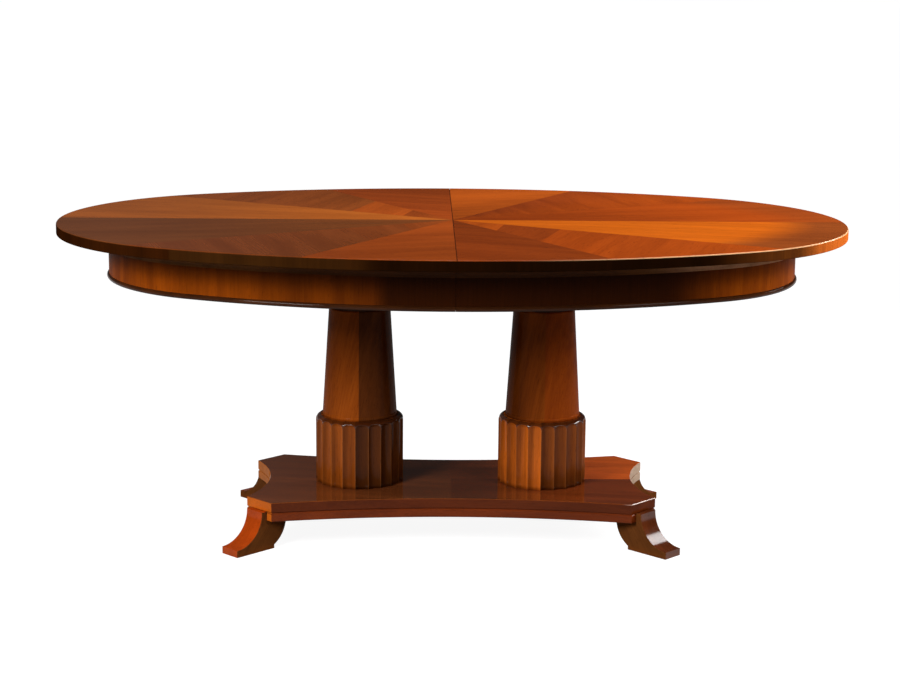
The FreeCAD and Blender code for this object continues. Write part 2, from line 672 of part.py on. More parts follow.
# The two halves of the top, with all that moves with each
THREE_TEETH = f"(3 * {TOOTH_PITCH})"
PITCH_LINE = "(-Sizes.pinion_radius)"
RACK_ROOT = f"({PITCH_LINE} - {TOOTH_ROOT})"
RACK_BACK = f"({RACK_ROOT} - Sizes.rack_back)"
CLEAT_END = "(Sizes.cleat_start + Sizes.cleat_width)"
HALF_TOOTH = f"({TOOTH_PITCH} / 4 - Sizes.gear_backlash / 4)"
TIP_HALF = f"({HALF_TOOTH} - {TOOTH_TIP} * tan(Sizes.pressure_angle))"
ROOT_HALF = f"({HALF_TOOTH} + {TOOTH_ROOT} * tan(Sizes.pressure_angle))"
LOCK_SHEET_FOOT = f"({TOP_UNDERSIDE} - Sizes.lock_sheet)"
LEVER_TOP = f"({LOCK_SHEET_FOOT} - Sizes.lever_clearance)"
LEVER_FOOT = f"({LEVER_TOP} - Sizes.lever_thick)"
PIVOT_HEAD_TOP = f"({LEVER_FOOT} - Sizes.lever_clearance)"
HOOK_INNER = ("(Sizes.lock_pivot + Sizes.keeper_stud + Sizes.keeper_radius"
              " + Sizes.hook_play)")
HOOK_OUTER = f"({HOOK_INNER} + Sizes.lever_hook)"
HALF_ARM = "(Sizes.lever_width / 2)"
LOCK_OFFSET = f"({HALF_WIDTH} - {APRON_INNER} - Sizes.lock_inset)"
RUNNER_REACH = f"({HALF_LENGTH} - {APRON_INNER} - Sizes.runner_end_gap)"
END_BLOCK_ANGLES = (-54, -27, 0, 27, 54)
PIN_PLACES = ("Sizes.pin_inner", f"({HALF_WIDTH} - Sizes.pin_inset)")


def build_top(side, turn):
    """Half of the top, with holes for its own pins and for the other half's."""
    top = new_body(f"top_{side}", turn)
    pad(top, outline(new_sketch(top, "XY_Plane", TOP_UNDERSIDE), half_oval("0")), "Sizes.top_thick")
    seam = value("Sizes.seam_gap")
    for level, radius in (("Sizes.table_height", "Sizes.arris_radius"), (TOP_UNDERSIDE, "Sizes.lower_arris")):
        height = value(level)
        round_edges(top, radius, lambda edge: (
            abs(edge.BoundBox.ZMin - height) < 0.01 and abs(edge.BoundBox.ZMax - height) < 0.01
            and edge.BoundBox.XMax > seam + 0.01))
    own = new_sketch(top, "YZ_Plane", "Sizes.seam_gap")
    other = new_sketch(top, "YZ_Plane", "Sizes.seam_gap")
    for place in PIN_PLACES:
        circle(own, place, TOP_MIDDLE, "Sizes.pin_diameter / 2")
        circle(other, f"-{place}", TOP_MIDDLE, "(Sizes.pin_diameter / 2 + Sizes.pin_clearance)")
    pocket(top, own, "Sizes.pin_length / 2", reverse=True)
    pocket(top, other, "(Sizes.pin_length / 2 + Sizes.pin_end_gap)", reverse=True)


def build_seam_pins(side, turn):
    """The pins that stand out of this half's seam."""
    pins = []
    for place in PIN_PLACES:
        pin = cylinder("(Sizes.seam_gap - Sizes.pin_length / 2)", place, TOP_MIDDLE,
                       "Sizes.pin_diameter / 2", "Sizes.pin_length")
        pin.Placement.Rotation = FreeCAD.Rotation(Vector(0, 1, 0), 90)
        pins.append(pin)
    group(f"seam_pins_{side}", pins, turn)


def build_apron(side, turn):
    """The curved apron, with the cove moulding above and the bead below."""
    apron = new_body(f"apron_{side}", turn)
    pad(apron, outline(new_sketch(apron, "XY_Plane", APRON_FOOT), half_ring(APRON_INSET, APRON_INNER)),
        "Sizes.apron_depth")
    cove_low = "(Sizes.moulding_step - Sizes.moulding_depth)"
    cove_high = "(-Sizes.moulding_step)"
    cove_out = "(Sizes.moulding_reach - Sizes.moulding_step / 2)"
    cove_in = "Sizes.moulding_step"
    swept(f"moulding_{side}", turn, APRON_INSET, TOP_UNDERSIDE, [
        ("0", "-Sizes.moulding_depth"),
        (cove_in, "-Sizes.moulding_depth"),
        (cove_in, cove_low, "Sizes.cove_radius", -1),
        (cove_out, cove_high),
        ("Sizes.moulding_reach", cove_high),
        ("Sizes.moulding_reach", "0"),
        ("0", "0"),
    ])
    bead_radius = "((Sizes.bead_height^2 / 4 + Sizes.bead_swell^2) / (2 * Sizes.bead_swell))"
    swept(f"bead_{side}", turn, APRON_INSET, APRON_FOOT, [
        ("0", "0", bead_radius, 1),
        ("0", "Sizes.bead_height"),
    ])


def build_glue_blocks(side, turn):
    """Blocks in the angle between the apron and the top, each cut to the apron's inner curve."""
    blocks = new_body(f"glue_blocks_{side}", turn)
    sketch = new_sketch(blocks, "XY_Plane", TOP_UNDERSIDE)
    end_reach = f"({END_RADIUS} - {APRON_INNER})"
    side_reach = f"({SIDE_RADIUS} - {APRON_INNER})"
    seats = [(END_CENTRE, "0", end_reach, angle) for angle in END_BLOCK_ANGLES]
    for place in ("Sizes.block_first", "Sizes.block_second"):
        angle = math.degrees(math.asin(value(place) / value(side_reach)))
        seats.append(("0", SIDE_CENTRE, side_reach, angle - 90))
        seats.append(("0", f"-{SIDE_CENTRE}", side_reach, 90 - angle))
    for centre_x, centre_y, reach, angle in seats:
        half = f"(Sizes.block_length / 2 / {reach} * 180 / pi)"
        inner = f"({reach} - Sizes.block_side)"
        corners = []
        for radius, hand in ((inner, -1), (reach, -1), (reach, 1), (inner, 1)):
            turned_by = f"({angle} + {hand} * {half})"
            corners.append((f"({centre_x} + {radius} * cos({turned_by}))",
                            f"({centre_y} + {radius} * sin({turned_by}))"))
        corners[1] += (reach, 1)
        outline(sketch, corners)
    pad(blocks, sketch, "Sizes.block_side", reverse=True)


def build_runners(side, turn):
    """The two dovetailed runners. On the right half both tongues point to the front."""
    slack = "Sizes.slide_clearance"
    faces = {
        "front": f"(-{RAIL_MIDDLE} + Sizes.rail_width / 2)",
        "back": f"({RAIL_MIDDLE} + Sizes.rail_width / 2)",
    }
    other = {"front": "back", "back": "front"}
    for face, groove in faces.items():
        name = face if side == "right" else other[face]
        runner = new_body(f"runner_{name}_{side}", turn)
        near = f"({groove} + {slack})"
        tongue = f"({groove} + {slack} - Sizes.dovetail_depth)"
        mouth = f"({MOUTH} - {slack} - {slack} / 2)"
        base = f"({BASE} - {slack} - {slack} / 2)"
        sketch = outline(new_sketch(runner, "YZ_Plane", "-Sizes.runner_lap"), [
            (near, RUNNER_FOOT),
            (f"({near} + Sizes.runner_width)", RUNNER_FOOT),
            (f"({near} + Sizes.runner_width)", TOP_UNDERSIDE),
            (near, TOP_UNDERSIDE),
            (near, f"({DOVETAIL_LEVEL} + {mouth})"),
            (tongue, f"({DOVETAIL_LEVEL} + {base})"),
            (tongue, f"({DOVETAIL_LEVEL} - {base})"),
            (near, f"({DOVETAIL_LEVEL} - {mouth})"),
        ])
        pad(runner, sketch, f"(Sizes.runner_lap + {RUNNER_REACH})")


def build_rack(side, turn):
    """The rack and the cleat that holds it under the top."""
    cleat = new_body(f"cleat_{side}", turn)
    half_cleat = (f"({RAIL_MIDDLE} - Sizes.rail_width / 2 - Sizes.slide_clearance"
                  " - Sizes.runner_width - Sizes.cleat_gap)")
    pad(cleat, rectangle(new_sketch(cleat, "XY_Plane", CLEAT_FOOT), "Sizes.cleat_start", CLEAT_END,
                         f"-{half_cleat}", half_cleat), "Sizes.cleat_thick")
    pad(cleat, rectangle(new_sketch(cleat, "XY_Plane", GEAR_TOP), "Sizes.cleat_start", CLEAT_END,
                         RACK_BACK, RACK_ROOT), "Sizes.rack_drop")
    rack = new_body(f"rack_{side}", turn)
    rack_tail = f"(-Sizes.slide_travel - {THREE_TEETH})"
    pad(rack, rectangle(new_sketch(rack, "XY_Plane", GEAR_FOOT), rack_tail, CLEAT_END, RACK_BACK, RACK_ROOT),
        "Sizes.gear_thick")
    first = f"(2 * {TOOTH_PITCH})"
    tip = f"({PITCH_LINE} + {TOOTH_TIP})"
    tooth_sketch = outline(new_sketch(rack, "XY_Plane", GEAR_FOOT), [
        (f"({first} - {ROOT_HALF})", RACK_ROOT),
        (f"({first} + {ROOT_HALF})", RACK_ROOT),
        (f"({first} + {TIP_HALF})", tip),
        (f"({first} - {TIP_HALF})", tip),
    ])
    tooth = pad(rack, tooth_sketch, "Sizes.gear_thick")
    count = f"(floor(Sizes.slide_travel / {TOOTH_PITCH}) + 5)"
    teeth = rack.newObject("PartDesign::LinearPattern", rack.Name + "_teeth")
    teeth.Originals = [tooth]
    teeth.Direction = (tooth_sketch, ["H_Axis"])
    teeth.Reversed = True
    teeth.setExpression("Occurrences", count)
    teeth.setExpression("Length", f"({count} - 1) * {TOOTH_PITCH}")
    rack.Tip = teeth


def build_lock(side, turn):
    """The plate with its pivot, the lever that swings on it, and the keeper for the other half's lever."""
    half_plate = "Sizes.lock_plate_width / 2"
    plate_end = "(Sizes.seam_gap + Sizes.lock_plate_length)"
    plate = new_body(f"lock_plate_{side}", turn)
    pad(plate, rectangle(new_sketch(plate, "XY_Plane", LOCK_SHEET_FOOT), "Sizes.lock_margin", plate_end,
                         f"(-{LOCK_OFFSET} - {half_plate})", f"(-{LOCK_OFFSET} + {half_plate})"),
        "Sizes.lock_sheet")
    pad(plate, circle(new_sketch(plate, "XY_Plane", PIVOT_HEAD_TOP), "Sizes.lock_pivot", f"-{LOCK_OFFSET}",
                      "Sizes.pivot_radius"), f"({LOCK_SHEET_FOOT} - {PIVOT_HEAD_TOP})")
    pad(plate, circle(new_sketch(plate, "XY_Plane", PIVOT_HEAD_TOP), "Sizes.lock_pivot", f"-{LOCK_OFFSET}",
                      "Sizes.pivot_head"), "Sizes.lock_sheet", reverse=True)

    keeper = new_body(f"lock_keeper_{side}", turn)
    pad(keeper, rectangle(new_sketch(keeper, "XY_Plane", LOCK_SHEET_FOOT), "Sizes.lock_margin", plate_end,
                          f"({LOCK_OFFSET} - {half_plate})", f"({LOCK_OFFSET} + {half_plate})"),
        "Sizes.lock_sheet")
    pad(keeper, circle(new_sketch(keeper, "XY_Plane", LOCK_SHEET_FOOT), "Sizes.keeper_stud", LOCK_OFFSET,
                       "Sizes.keeper_radius"), f"({LOCK_SHEET_FOOT} - {PIVOT_HEAD_TOP})", reverse=True)

    lever = new_body(f"lock_lever_{side}", turn - 90)
    facing = 1 if side == "right" else -1
    lever.setExpression("Placement.Base.x", f"{facing} * Sizes.lock_pivot")
    lever.setExpression("Placement.Base.y", f"{-facing} * {LOCK_OFFSET}")
    hub = circle(new_sketch(lever, "XY_Plane", LEVER_FOOT), "0", "0", "Sizes.lever_hub")
    pad(lever, hub, "Sizes.lever_thick")
    hook = outline(new_sketch(lever, "XY_Plane", LEVER_FOOT), [
        ("-Sizes.lever_handle", f"-{HALF_ARM}"),
        (f"sqrt({HOOK_INNER}^2 - {HALF_ARM}^2)", f"-{HALF_ARM}", HOOK_INNER, -1),
        (f"({HOOK_INNER} * cos(Sizes.hook_angle))", f"(-{HOOK_INNER} * sin(Sizes.hook_angle))"),
        (f"({HOOK_OUTER} * cos(Sizes.hook_angle))", f"(-{HOOK_OUTER} * sin(Sizes.hook_angle))",
         HOOK_OUTER, 1),
        (f"sqrt({HOOK_OUTER}^2 - {HALF_ARM}^2)", HALF_ARM),
        ("-Sizes.lever_handle", HALF_ARM),
    ])
    pad(lever, hook, "Sizes.lever_thick")
    pocket(lever, circle(new_sketch(lever, "XY_Plane", LEVER_TOP), "0", "0",
                         "(Sizes.pivot_radius + Sizes.lever_clearance)"))


for side, turn in (("right", 0), ("left", 180)):
    build_top(side, turn)
    build_seam_pins(side, turn)
    build_apron(side, turn)
    build_glue_blocks(side, turn)
    build_runners(side, turn)
    build_rack(side, turn)
    build_lock(side, turn)

# Flutes: cut into both drums last, because each recompute after them works every flute out again
FLUTE_TURN = "(180 / Sizes.flute_count - Sizes.flute_land / Sizes.drum_radius * 90 / pi)"
FLUTE_HALF = f"(Sizes.drum_radius * sin({FLUTE_TURN}))"
FLUTE_RADIUS = f"(({FLUTE_HALF}^2 + Sizes.flute_depth^2) / (2 * Sizes.flute_depth))"
FLUTE_CENTRE = (f"(Sizes.drum_radius * cos({FLUTE_TURN})"
                f" + {FLUTE_RADIUS} - Sizes.flute_depth)")
FLUTE_HEAD = f"({DRUM_TOP} - {SHOULDER} - Sizes.flute_drop)"


def scooped_flute(drum):
    """One flute: a hollow with a scooped head, turned about its own upright axis outside the drum."""
    deepest = f"({FLUTE_CENTRE} - {FLUTE_RADIUS})"
    crown = f"({FLUTE_HEAD} + Sizes.flute_end)"
    sketch = outline(new_sketch(drum, "XZ_Plane", "0"), [
        (FLUTE_CENTRE, "Sizes.platform_height"),
        (FLUTE_CENTRE, crown),
        (f"({deepest} + Sizes.flute_depth)", crown),
        (deepest, FLUTE_HEAD),
        (deepest, "Sizes.platform_height"),
    ])
    ends = [sketch.getPoint(0, end) for end in (1, 2)]
    axis = sketch.addGeometry(Part.LineSegment(*ends), True)
    for end in (1, 2):
        sketch.addConstraint(Sketcher.Constraint("Coincident", axis, end, 0, end))
    doc.recompute()
    before = drum.Shape.Volume
    flute = drum.newObject("PartDesign::Groove", drum.Name + "_flute")
    flute.Profile = sketch
    flute.ReferenceAxis = (sketch, ["Axis0"])
    flute.Angle = 360
    doc.recompute()
    if not drum.Shape.Volume < before:
        raise RuntimeError(drum.Label + ": the flute cuts nothing")
    return flute


for drum in drums:
    flutes = drum.newObject("PartDesign::PolarPattern", drum.Name + "_flutes")
    flutes.Originals = [scooped_flute(drum)]
    flutes.Axis = (origin_feature(drum, "Z_Axis"), [""])
    flutes.Angle = 360
    flutes.setExpression("Occurrences", "Sizes.flute_count")
    drum.Tip = flutes

doc.recompute()
for piece in doc.Objects:
    if "Invalid" in piece.State or "Error" in piece.State:
        raise RuntimeError("%s did not build: %s" % (piece.Label, piece.State))
for label, piece in nodes.items():
    if piece.Shape.isNull() or not piece.Shape.isValid():
        raise RuntimeError(label + " has no sound shape")

os.makedirs("parts", exist_ok=True)
for label, piece in nodes.items():
    piece.Shape.exportStep("parts/%s.step" % label)
    print(label, len(piece.Shape.Solids), round(piece.Shape.Volume), piece.Shape.BoundBox)
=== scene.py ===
import math

import bmesh
import bpy
from mathutils import Matrix, Vector


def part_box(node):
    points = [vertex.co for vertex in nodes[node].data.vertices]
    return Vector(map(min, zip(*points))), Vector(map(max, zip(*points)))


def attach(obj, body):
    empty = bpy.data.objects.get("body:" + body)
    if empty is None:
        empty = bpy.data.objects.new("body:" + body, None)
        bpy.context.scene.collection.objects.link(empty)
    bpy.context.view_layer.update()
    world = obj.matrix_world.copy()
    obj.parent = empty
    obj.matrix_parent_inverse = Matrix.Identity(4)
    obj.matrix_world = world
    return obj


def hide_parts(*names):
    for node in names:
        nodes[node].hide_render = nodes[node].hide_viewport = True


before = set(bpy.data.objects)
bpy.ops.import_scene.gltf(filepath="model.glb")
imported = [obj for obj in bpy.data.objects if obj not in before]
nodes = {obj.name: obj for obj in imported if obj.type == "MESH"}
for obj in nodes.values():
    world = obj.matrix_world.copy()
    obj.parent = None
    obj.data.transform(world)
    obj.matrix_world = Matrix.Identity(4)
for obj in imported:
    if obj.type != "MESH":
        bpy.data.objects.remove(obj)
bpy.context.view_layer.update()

scene = bpy.context.scene


# Feet: four curved brackets of solid cherry, sawn to shape and let into the platform's cut corners.
# Their grain runs down and outwards. The curved faces are lacquered, the sawn sides stay duller, and
# the lacquer is rubbed thin along the toes. Each curved face has a tone of its own, and the front right
# one is much darker as painted shade.
FOOT_HALF = 0.028
FOOT_EASE = (0.0004, 0.0016)
FOOT_GRAIN = (0, math.radians(-52), 0)
# Curved face tones by foot; the front right one is much darker as painted shade.
FOOT_TONES_AND_SHADE = {
    ("front", "left"): ((0.37, 0.046, 0.003, 1), (0.61, 0.078, 0.005, 1)),
    ("front", "right"): ((0.07, 0.015, 0.004, 1), (0.15, 0.031, 0.007, 1)),
    ("back", "left"): ((0.20, 0.029, 0.004, 1), (0.40, 0.058, 0.006, 1)),
    ("back", "right"): ((0.20, 0.029, 0.004, 1), (0.40, 0.058, 0.006, 1)),
}
SAWN_TONES = ((0.105, 0.033, 0.009, 1), (0.200, 0.062, 0.014, 1))
BRIGHT_FACES = {("front", "right"): 0.8}
FACE_GLOSS = 0.25
TOE_HEIGHT = 0.02
TOE_LAYER = (0.15, (0.40, 0.09, 0.012, 1))

FIGURE_STRETCH = (2.4, 20, 20)
FIBRE_STRETCH = (9, 310, 310)
PORE_STRETCH = (46, 900, 900)
PORE_LIMITS = (0.62, 0.74)
PORE_SINK = 0.8
PORE_LAYER = (0.45, (0.02, 0.005, 0.001, 1))
GRAIN_LIMITS = (0.3, 0.7)
FIGURE_SHARE = 0.68
FIBRE_SHARE = 0.32
GRAIN_RELIEF = 0.0004
SHEEN_SPREAD = 0.1


def add(tree, kind, settings=None, **inputs):
    """A node with its settings and inputs. An input is named, or numbered as i0, i1 and so on."""
    made = tree.nodes.new(kind)
    for name, setting in (settings or {}).items():
        setattr(made, name, setting)
    for name, given in inputs.items():
        number = name[1:]
        socket = made.inputs[int(number)] if number.isdigit() else made.inputs[name.replace("_", " ")]
        if isinstance(given, bpy.types.NodeSocket):
            tree.links.new(given, socket)
        else:
            socket.default_value = given
    return made


def calc(tree, operation, *terms):
    """The result of one step of arithmetic."""
    inputs = {f"i{index}": term for index, term in enumerate(terms)}
    return add(tree, "ShaderNodeMath", {"operation": operation}, **inputs).outputs[0]


def times(tree, first, second):
    """The product of two values."""
    return calc(tree, "MULTIPLY", first, second)


def between(tree, term, low, high, soft=True):
    """How far a value is on its way from low to high, kept between 0 and 1."""
    settings = {"interpolation_type": "SMOOTHSTEP" if soft else "LINEAR"}
    return add(tree, "ShaderNodeMapRange", settings, i0=term, i1=low, i2=high).outputs[0]


def parts_of(tree, vector):
    """The X, Y and Z of a vector."""
    return add(tree, "ShaderNodeSeparateXYZ", Vector=vector).outputs


def tint(tree, share, under, over, method="MIX"):
    """One colour laid over another."""
    settings = {"data_type": "RGBA", "blend_type": method}
    return add(tree, "ShaderNodeMix", settings, i0=share, i6=under, i7=over).outputs[2]


def layered(tree, under, where, share, tone):
    """A colour with a tone laid over part of it, as strongly as its share says."""
    return tint(tree, times(tree, where, share), under, tone)


def new_finish(name):
    """An empty material, and the place on the piece that its pattern is drawn from."""
    material = bpy.data.materials.new(name)
    material.use_nodes = True
    tree = material.node_tree
    tree.nodes.clear()
    place = add(tree, "ShaderNodeTexCoord").outputs["Object"]
    return material, tree, place


def stretched(tree, place, scale, turn=(0, 0, 0)):
    """The place, turned and then stretched, so that a pattern runs along the grain."""
    settings = {"vector_type": "POINT"}
    turned = add(tree, "ShaderNodeMapping", settings, Vector=place, Rotation=turn).outputs[0]
    return add(tree, "ShaderNodeVectorMath", {"operation": "MULTIPLY"}, i0=turned, i1=scale).outputs[0]


def noise(tree, place, detail, rough, distort=0.0):
    """A cloudy value between 0 and 1, centred on one half."""
    inputs = {"Scale": 1.0, "Detail": detail, "Roughness": rough, "Distortion": distort}
    return add(tree, "ShaderNodeTexNoise", Vector=place, **inputs).outputs[0]


def grain(tree, place, scale=1.0, turn=(0, 0, 0)):
    """Broad figure, fine fibres and short dark pores of wood whose grain runs along X after the turn."""
    places = []
    for stretch in (FIGURE_STRETCH, FIBRE_STRETCH, PORE_STRETCH):
        places.append(stretched(tree, place, [part * scale for part in stretch], turn))
    figure = noise(tree, places[0], detail=4.0, rough=0.5, distort=0.7)
    fibre = noise(tree, places[1], detail=3.0, rough=0.6)
    dashes = noise(tree, places[2], detail=1.0, rough=0.5)
    return figure, fibre, between(tree, dashes, *PORE_LIMITS)


def wooden(tree, figure, fibre, dark, light):
    """Wood colour from its figure and fibres."""
    cloud = times(tree, between(tree, figure, *GRAIN_LIMITS), FIGURE_SHARE)
    lines = times(tree, between(tree, fibre, *GRAIN_LIMITS), FIBRE_SHARE)
    return tint(tree, calc(tree, "ADD", cloud, lines), dark, light)


def lacquer(tree, colour, fibre, pores, rough=0.3, gloss=0.4, gloss_rough=0.1, bump=0.12, depth=1.22):
    """A clear lacquer over the wood: the pores sink a little and the fibres break up the sheen."""
    sunk = calc(tree, "SUBTRACT", fibre, times(tree, pores, PORE_SINK))
    relief = add(tree, "ShaderNodeBump", Strength=bump, Distance=GRAIN_RELIEF, Height=sunk).outputs[0]
    dull = calc(tree, "ADD", rough - SHEEN_SPREAD / 2, times(tree, fibre, SHEEN_SPREAD))
    coloured = layered(tree, colour, pores, *PORE_LAYER)
    shader = add(tree, "ShaderNodeBsdfPrincipled", Base_Color=coloured, Roughness=dull, Normal=relief,
                 Specular_IOR_Level=0.0, Coat_Weight=gloss, Coat_Roughness=gloss_rough, Coat_IOR=depth)
    add(tree, "ShaderNodeOutputMaterial", Surface=shader.outputs[0])


def wear(material, *names):
    """Gives a finish to CAD pieces that keep their shape."""
    for name in names:
        nodes[name].data.materials.clear()
        nodes[name].data.materials.append(material)


for face, across in (("front", -1), ("back", 1)):
    for side, along in (("left", -1), ("right", 1)):
        finish, tree, place = new_finish(f"cherry_foot_{face}_{side}")
        heading = math.atan2(across, along)
        flat = add(tree, "ShaderNodeMapping", Vector=place, Rotation=(0, 0, -heading)).outputs[0]
        axes = parts_of(tree, flat)
        figure, fibre, pores = grain(tree, flat, 1.1, FOOT_GRAIN)
        # The front right foot's darker face tone is painted shade.
        curved = wooden(tree, figure, fibre, *FOOT_TONES_AND_SHADE[face, side])
        sawn = wooden(tree, figure, fibre, *SAWN_TONES)
        low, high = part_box(f"foot_{face}_{side}")
        centre = Matrix.Rotation(-heading, 3, "Z") @ ((low + high) / 2)
        aside = calc(tree, "ABSOLUTE", calc(tree, "SUBTRACT", axes[1], centre.y))
        on_curve = between(tree, aside, FOOT_HALF - FOOT_EASE[0], FOOT_HALF - FOOT_EASE[1])
        on_toe = between(tree, axes[2], TOE_HEIGHT, 0.0)
        worn = layered(tree, tint(tree, on_curve, sawn, curved), on_toe, *TOE_LAYER)
        gloss = times(tree, on_curve, BRIGHT_FACES.get((face, side), FACE_GLOSS))
        lacquer(tree, worn, fibre, pores, rough=0.3, gloss=gloss, gloss_rough=0.15, depth=1.42)
        wear(finish, f"foot_{face}_{side}")


# Platform: two layers of cherry on the four feet, with a shadow line between them. The upper face is
# veneered in four quarters that meet on the middle lines, and polished so high that the drums are
# mirrored in it; towards the middle, between the drums, it is darkened as painted shade. The scooped
# ends and the corners show end grain. The scooped ends are paler as painted light and painted
# reflection, tan on the left and grey on the right, and the front left corner is lighter as painted
# light. The eased arris is lighter, partly as wear and partly as a painted highlight, with a painted
# glint at the front right corner.
PLATFORM_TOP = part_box("platform_upper")[1].z
LOWER_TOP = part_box("platform_lower")[1].z
LAYER_JOINT = 0.0005
JOINT_WIDTH = 0.0007
EASED_EDGE = 0.0012
EASE_SOFTNESS = 0.0003
FACE_EDGE = (0.0005, 0.0002)
QUARTER_TONES = {
    "front_left": (0.200, 0.048, 0.011, 1),
    "front_right": (0.190, 0.033, 0.006, 1),
    "back_left": (0.185, 0.045, 0.012, 1),
    "back_right": (0.700, 0.110, 0.010, 1),
}
PLATFORM_SHADING = ((0.72, 0.70, 0.68, 1), (1.32, 1.36, 1.4, 1))
# Painted shade: the upper face darkens towards the middle line, more on the right, most at the back right.
MIDDLE_SHADE_LIMITS = (0.36, 0.06)
MIDDLE_SHADE_SHARES = {"all": 0.4, "right": 0.2, "back_right": 0.27}
MIDDLE_SHADE_TONE = (0.060, 0.022, 0.009, 1)
# Upper and lower edge tones; the scoop tones are painted light and painted reflection, the corner tone
# painted light.
EDGE_TONES_AND_PAINTED_LIGHT = {
    "upper": ((0.085, 0.014, 0.002, 1), (0.150, 0.026, 0.004, 1)),
    "lower": ((0.125, 0.020, 0.003, 1), (0.240, 0.039, 0.006, 1)),
    "left_scoop": ((0.40, 0.110, 0.020, 1), (0.62, 0.190, 0.042, 1)),
    "right_scoop": ((0.42, 0.280, 0.190, 1), (0.62, 0.440, 0.320, 1)),
    "corner": ((0.48, 0.100, 0.008, 1), (0.72, 0.155, 0.012, 1)),
}
CORNER_LIMITS = (-0.10, -0.06)
END_FACING = (0.45, 0.6)
# The eased arris is lighter, partly as wear and partly as a painted highlight.
EASE_WEAR_AND_HIGHLIGHT = (0.25, (0.50, 0.13, 0.025, 1))
# Painted glint on the eased arris at the front right corner.
PAINTED_GLINT_LIMITS = (0.40, 0.44)
PAINTED_GLINT_LAYER = (0.8, (0.90, 0.70, 0.60, 1))
EDGE_POLISH = 0.06


def by_quarter(tree, to_right, to_back, colours):
    """The colour of the quarter that a place lies in."""
    front = tint(tree, to_right, colours["front_left"], colours["front_right"])
    back = tint(tree, to_right, colours["back_left"], colours["back_right"])
    return tint(tree, to_back, front, back)


def figured(tree, colour, figure, fibre, shading):
    """A colour, darkened and lightened by the wood's figure and fibres."""
    return tint(tree, 1.0, colour, wooden(tree, figure, fibre, *shading), "MULTIPLY")


def woods(tree, figure, fibre, tones):
    """A wood colour for each named pair of tones."""
    return {name: wooden(tree, figure, fibre, *pair) for name, pair in tones.items()}


finish, tree, place = new_finish("quartered_platform")
axes = parts_of(tree, place)
to_right = between(tree, axes[0], -JOINT_WIDTH, JOINT_WIDTH)
to_back = between(tree, axes[1], -JOINT_WIDTH, JOINT_WIDTH)
figure, fibre, pores = grain(tree, place, 0.9, (0, 0, math.radians(8)))
quarters = by_quarter(tree, to_right, to_back, QUARTER_TONES)
upper_face = figured(tree, quarters, figure, fibre, PLATFORM_SHADING)
# Painted shade between the drums, towards the middle line.
shade_to_middle = between(tree, calc(tree, "ABSOLUTE", axes[0]), *MIDDLE_SHADE_LIMITS)
right_share = calc(tree, "ADD", MIDDLE_SHADE_SHARES["right"], times(tree, to_back, MIDDLE_SHADE_SHARES["back_right"]))
middle_shade_share = calc(tree, "ADD", MIDDLE_SHADE_SHARES["all"], times(tree, to_right, right_share))
upper_face = layered(tree, upper_face, shade_to_middle, middle_shade_share, MIDDLE_SHADE_TONE)
edges = woods(tree, figure, fibre, EDGE_TONES_AND_PAINTED_LIGHT)
on_upper = between(tree, axes[2], LOWER_TOP - LAYER_JOINT, LOWER_TOP + LAYER_JOINT)
long_edge = tint(tree, on_upper, edges["lower"], edges["upper"])
# Painted light and painted reflection on the scooped ends, and painted light on the front left corner.
lit_scoop_edge = tint(tree, to_right, edges["left_scoop"], edges["right_scoop"])
off_front = between(tree, axes[1], *CORNER_LIMITS)
lit_end_edge = tint(tree, off_front, edges["corner"], lit_scoop_edge)
right_front = times(tree, to_right, calc(tree, "SUBTRACT", 1.0, off_front))
facing = parts_of(tree, add(tree, "ShaderNodeNewGeometry").outputs["Normal"])
at_ends = between(tree, calc(tree, "ABSOLUTE", facing[0]), *END_FACING)
end_share = times(tree, at_ends, calc(tree, "SUBTRACT", 1.0, right_front))
edge = tint(tree, end_share, long_edge, lit_end_edge)
on_ease = between(tree, axes[2], PLATFORM_TOP - EASED_EDGE - EASE_SOFTNESS, PLATFORM_TOP - EASED_EDGE)
painted_glint_place = times(tree, between(tree, axes[0], *PAINTED_GLINT_LIMITS), right_front)
# The eased arris is lighter, partly as wear and partly as a painted highlight.
edge = layered(tree, edge, on_ease, *EASE_WEAR_AND_HIGHLIGHT)
# Painted glint on the eased arris at the front right corner.
edge = layered(tree, edge, times(tree, on_ease, painted_glint_place), *PAINTED_GLINT_LAYER)
on_face = between(tree, axes[2], PLATFORM_TOP - FACE_EDGE[0], PLATFORM_TOP - FACE_EDGE[1])
polish = calc(tree, "ADD", EDGE_POLISH, times(tree, on_face, 1 - EDGE_POLISH))
lacquer(tree, tint(tree, on_face, edge, upper_face), fibre, pores, rough=0.28, gloss=polish,
        gloss_rough=0.03, bump=0.012, depth=1.85)
wear(finish, "platform_upper", "platform_lower")


# Drums: coopered cherry staves, turned, with twenty-one flutes cut by hand that end in a scoop under
# the shoulder. Dark glaze stays in the hollows and is wiped off the arrises, which also carry a painted
# highlight, and the staves differ at random in tone. Each drum's right part is darkened as painted
# shade, the right drum is lighter than the left as painted light, and one wall of each flute carries a
# painted shadow. The drums are darker towards the foot, more on the shaded part, and the shoulder
# between and above the flute heads is darker and glossier. Each drum is clamped between the platform
# and its column.
PEDESTALS = {"left": -0.224, "right": 0.224}
FLUTE_COUNT = 21
FLUTE_COLUMNS = 18
SIDE_ROWS = 30
SHOULDER_ROWS = 36
SHOULDER_SPREAD = 1.6
DISC_ROWS = 3
WELD = 0.00001
DRUM_SIZES = {
    "Foot": PLATFORM_TOP,
    "Radius": 0.1075,
    "Straight": 0.153,
    "Shoulder": 0.012,
    "Flute Count": FLUTE_COUNT,
    "Flute Depth": 0.0055,
    "Flute Land": 0.0008,
    "Head Start": 0.1525,
    "Head Length": 0.0095,
    "Arris": 0.0012,
}
UPRIGHT = (0, math.radians(90), 0)
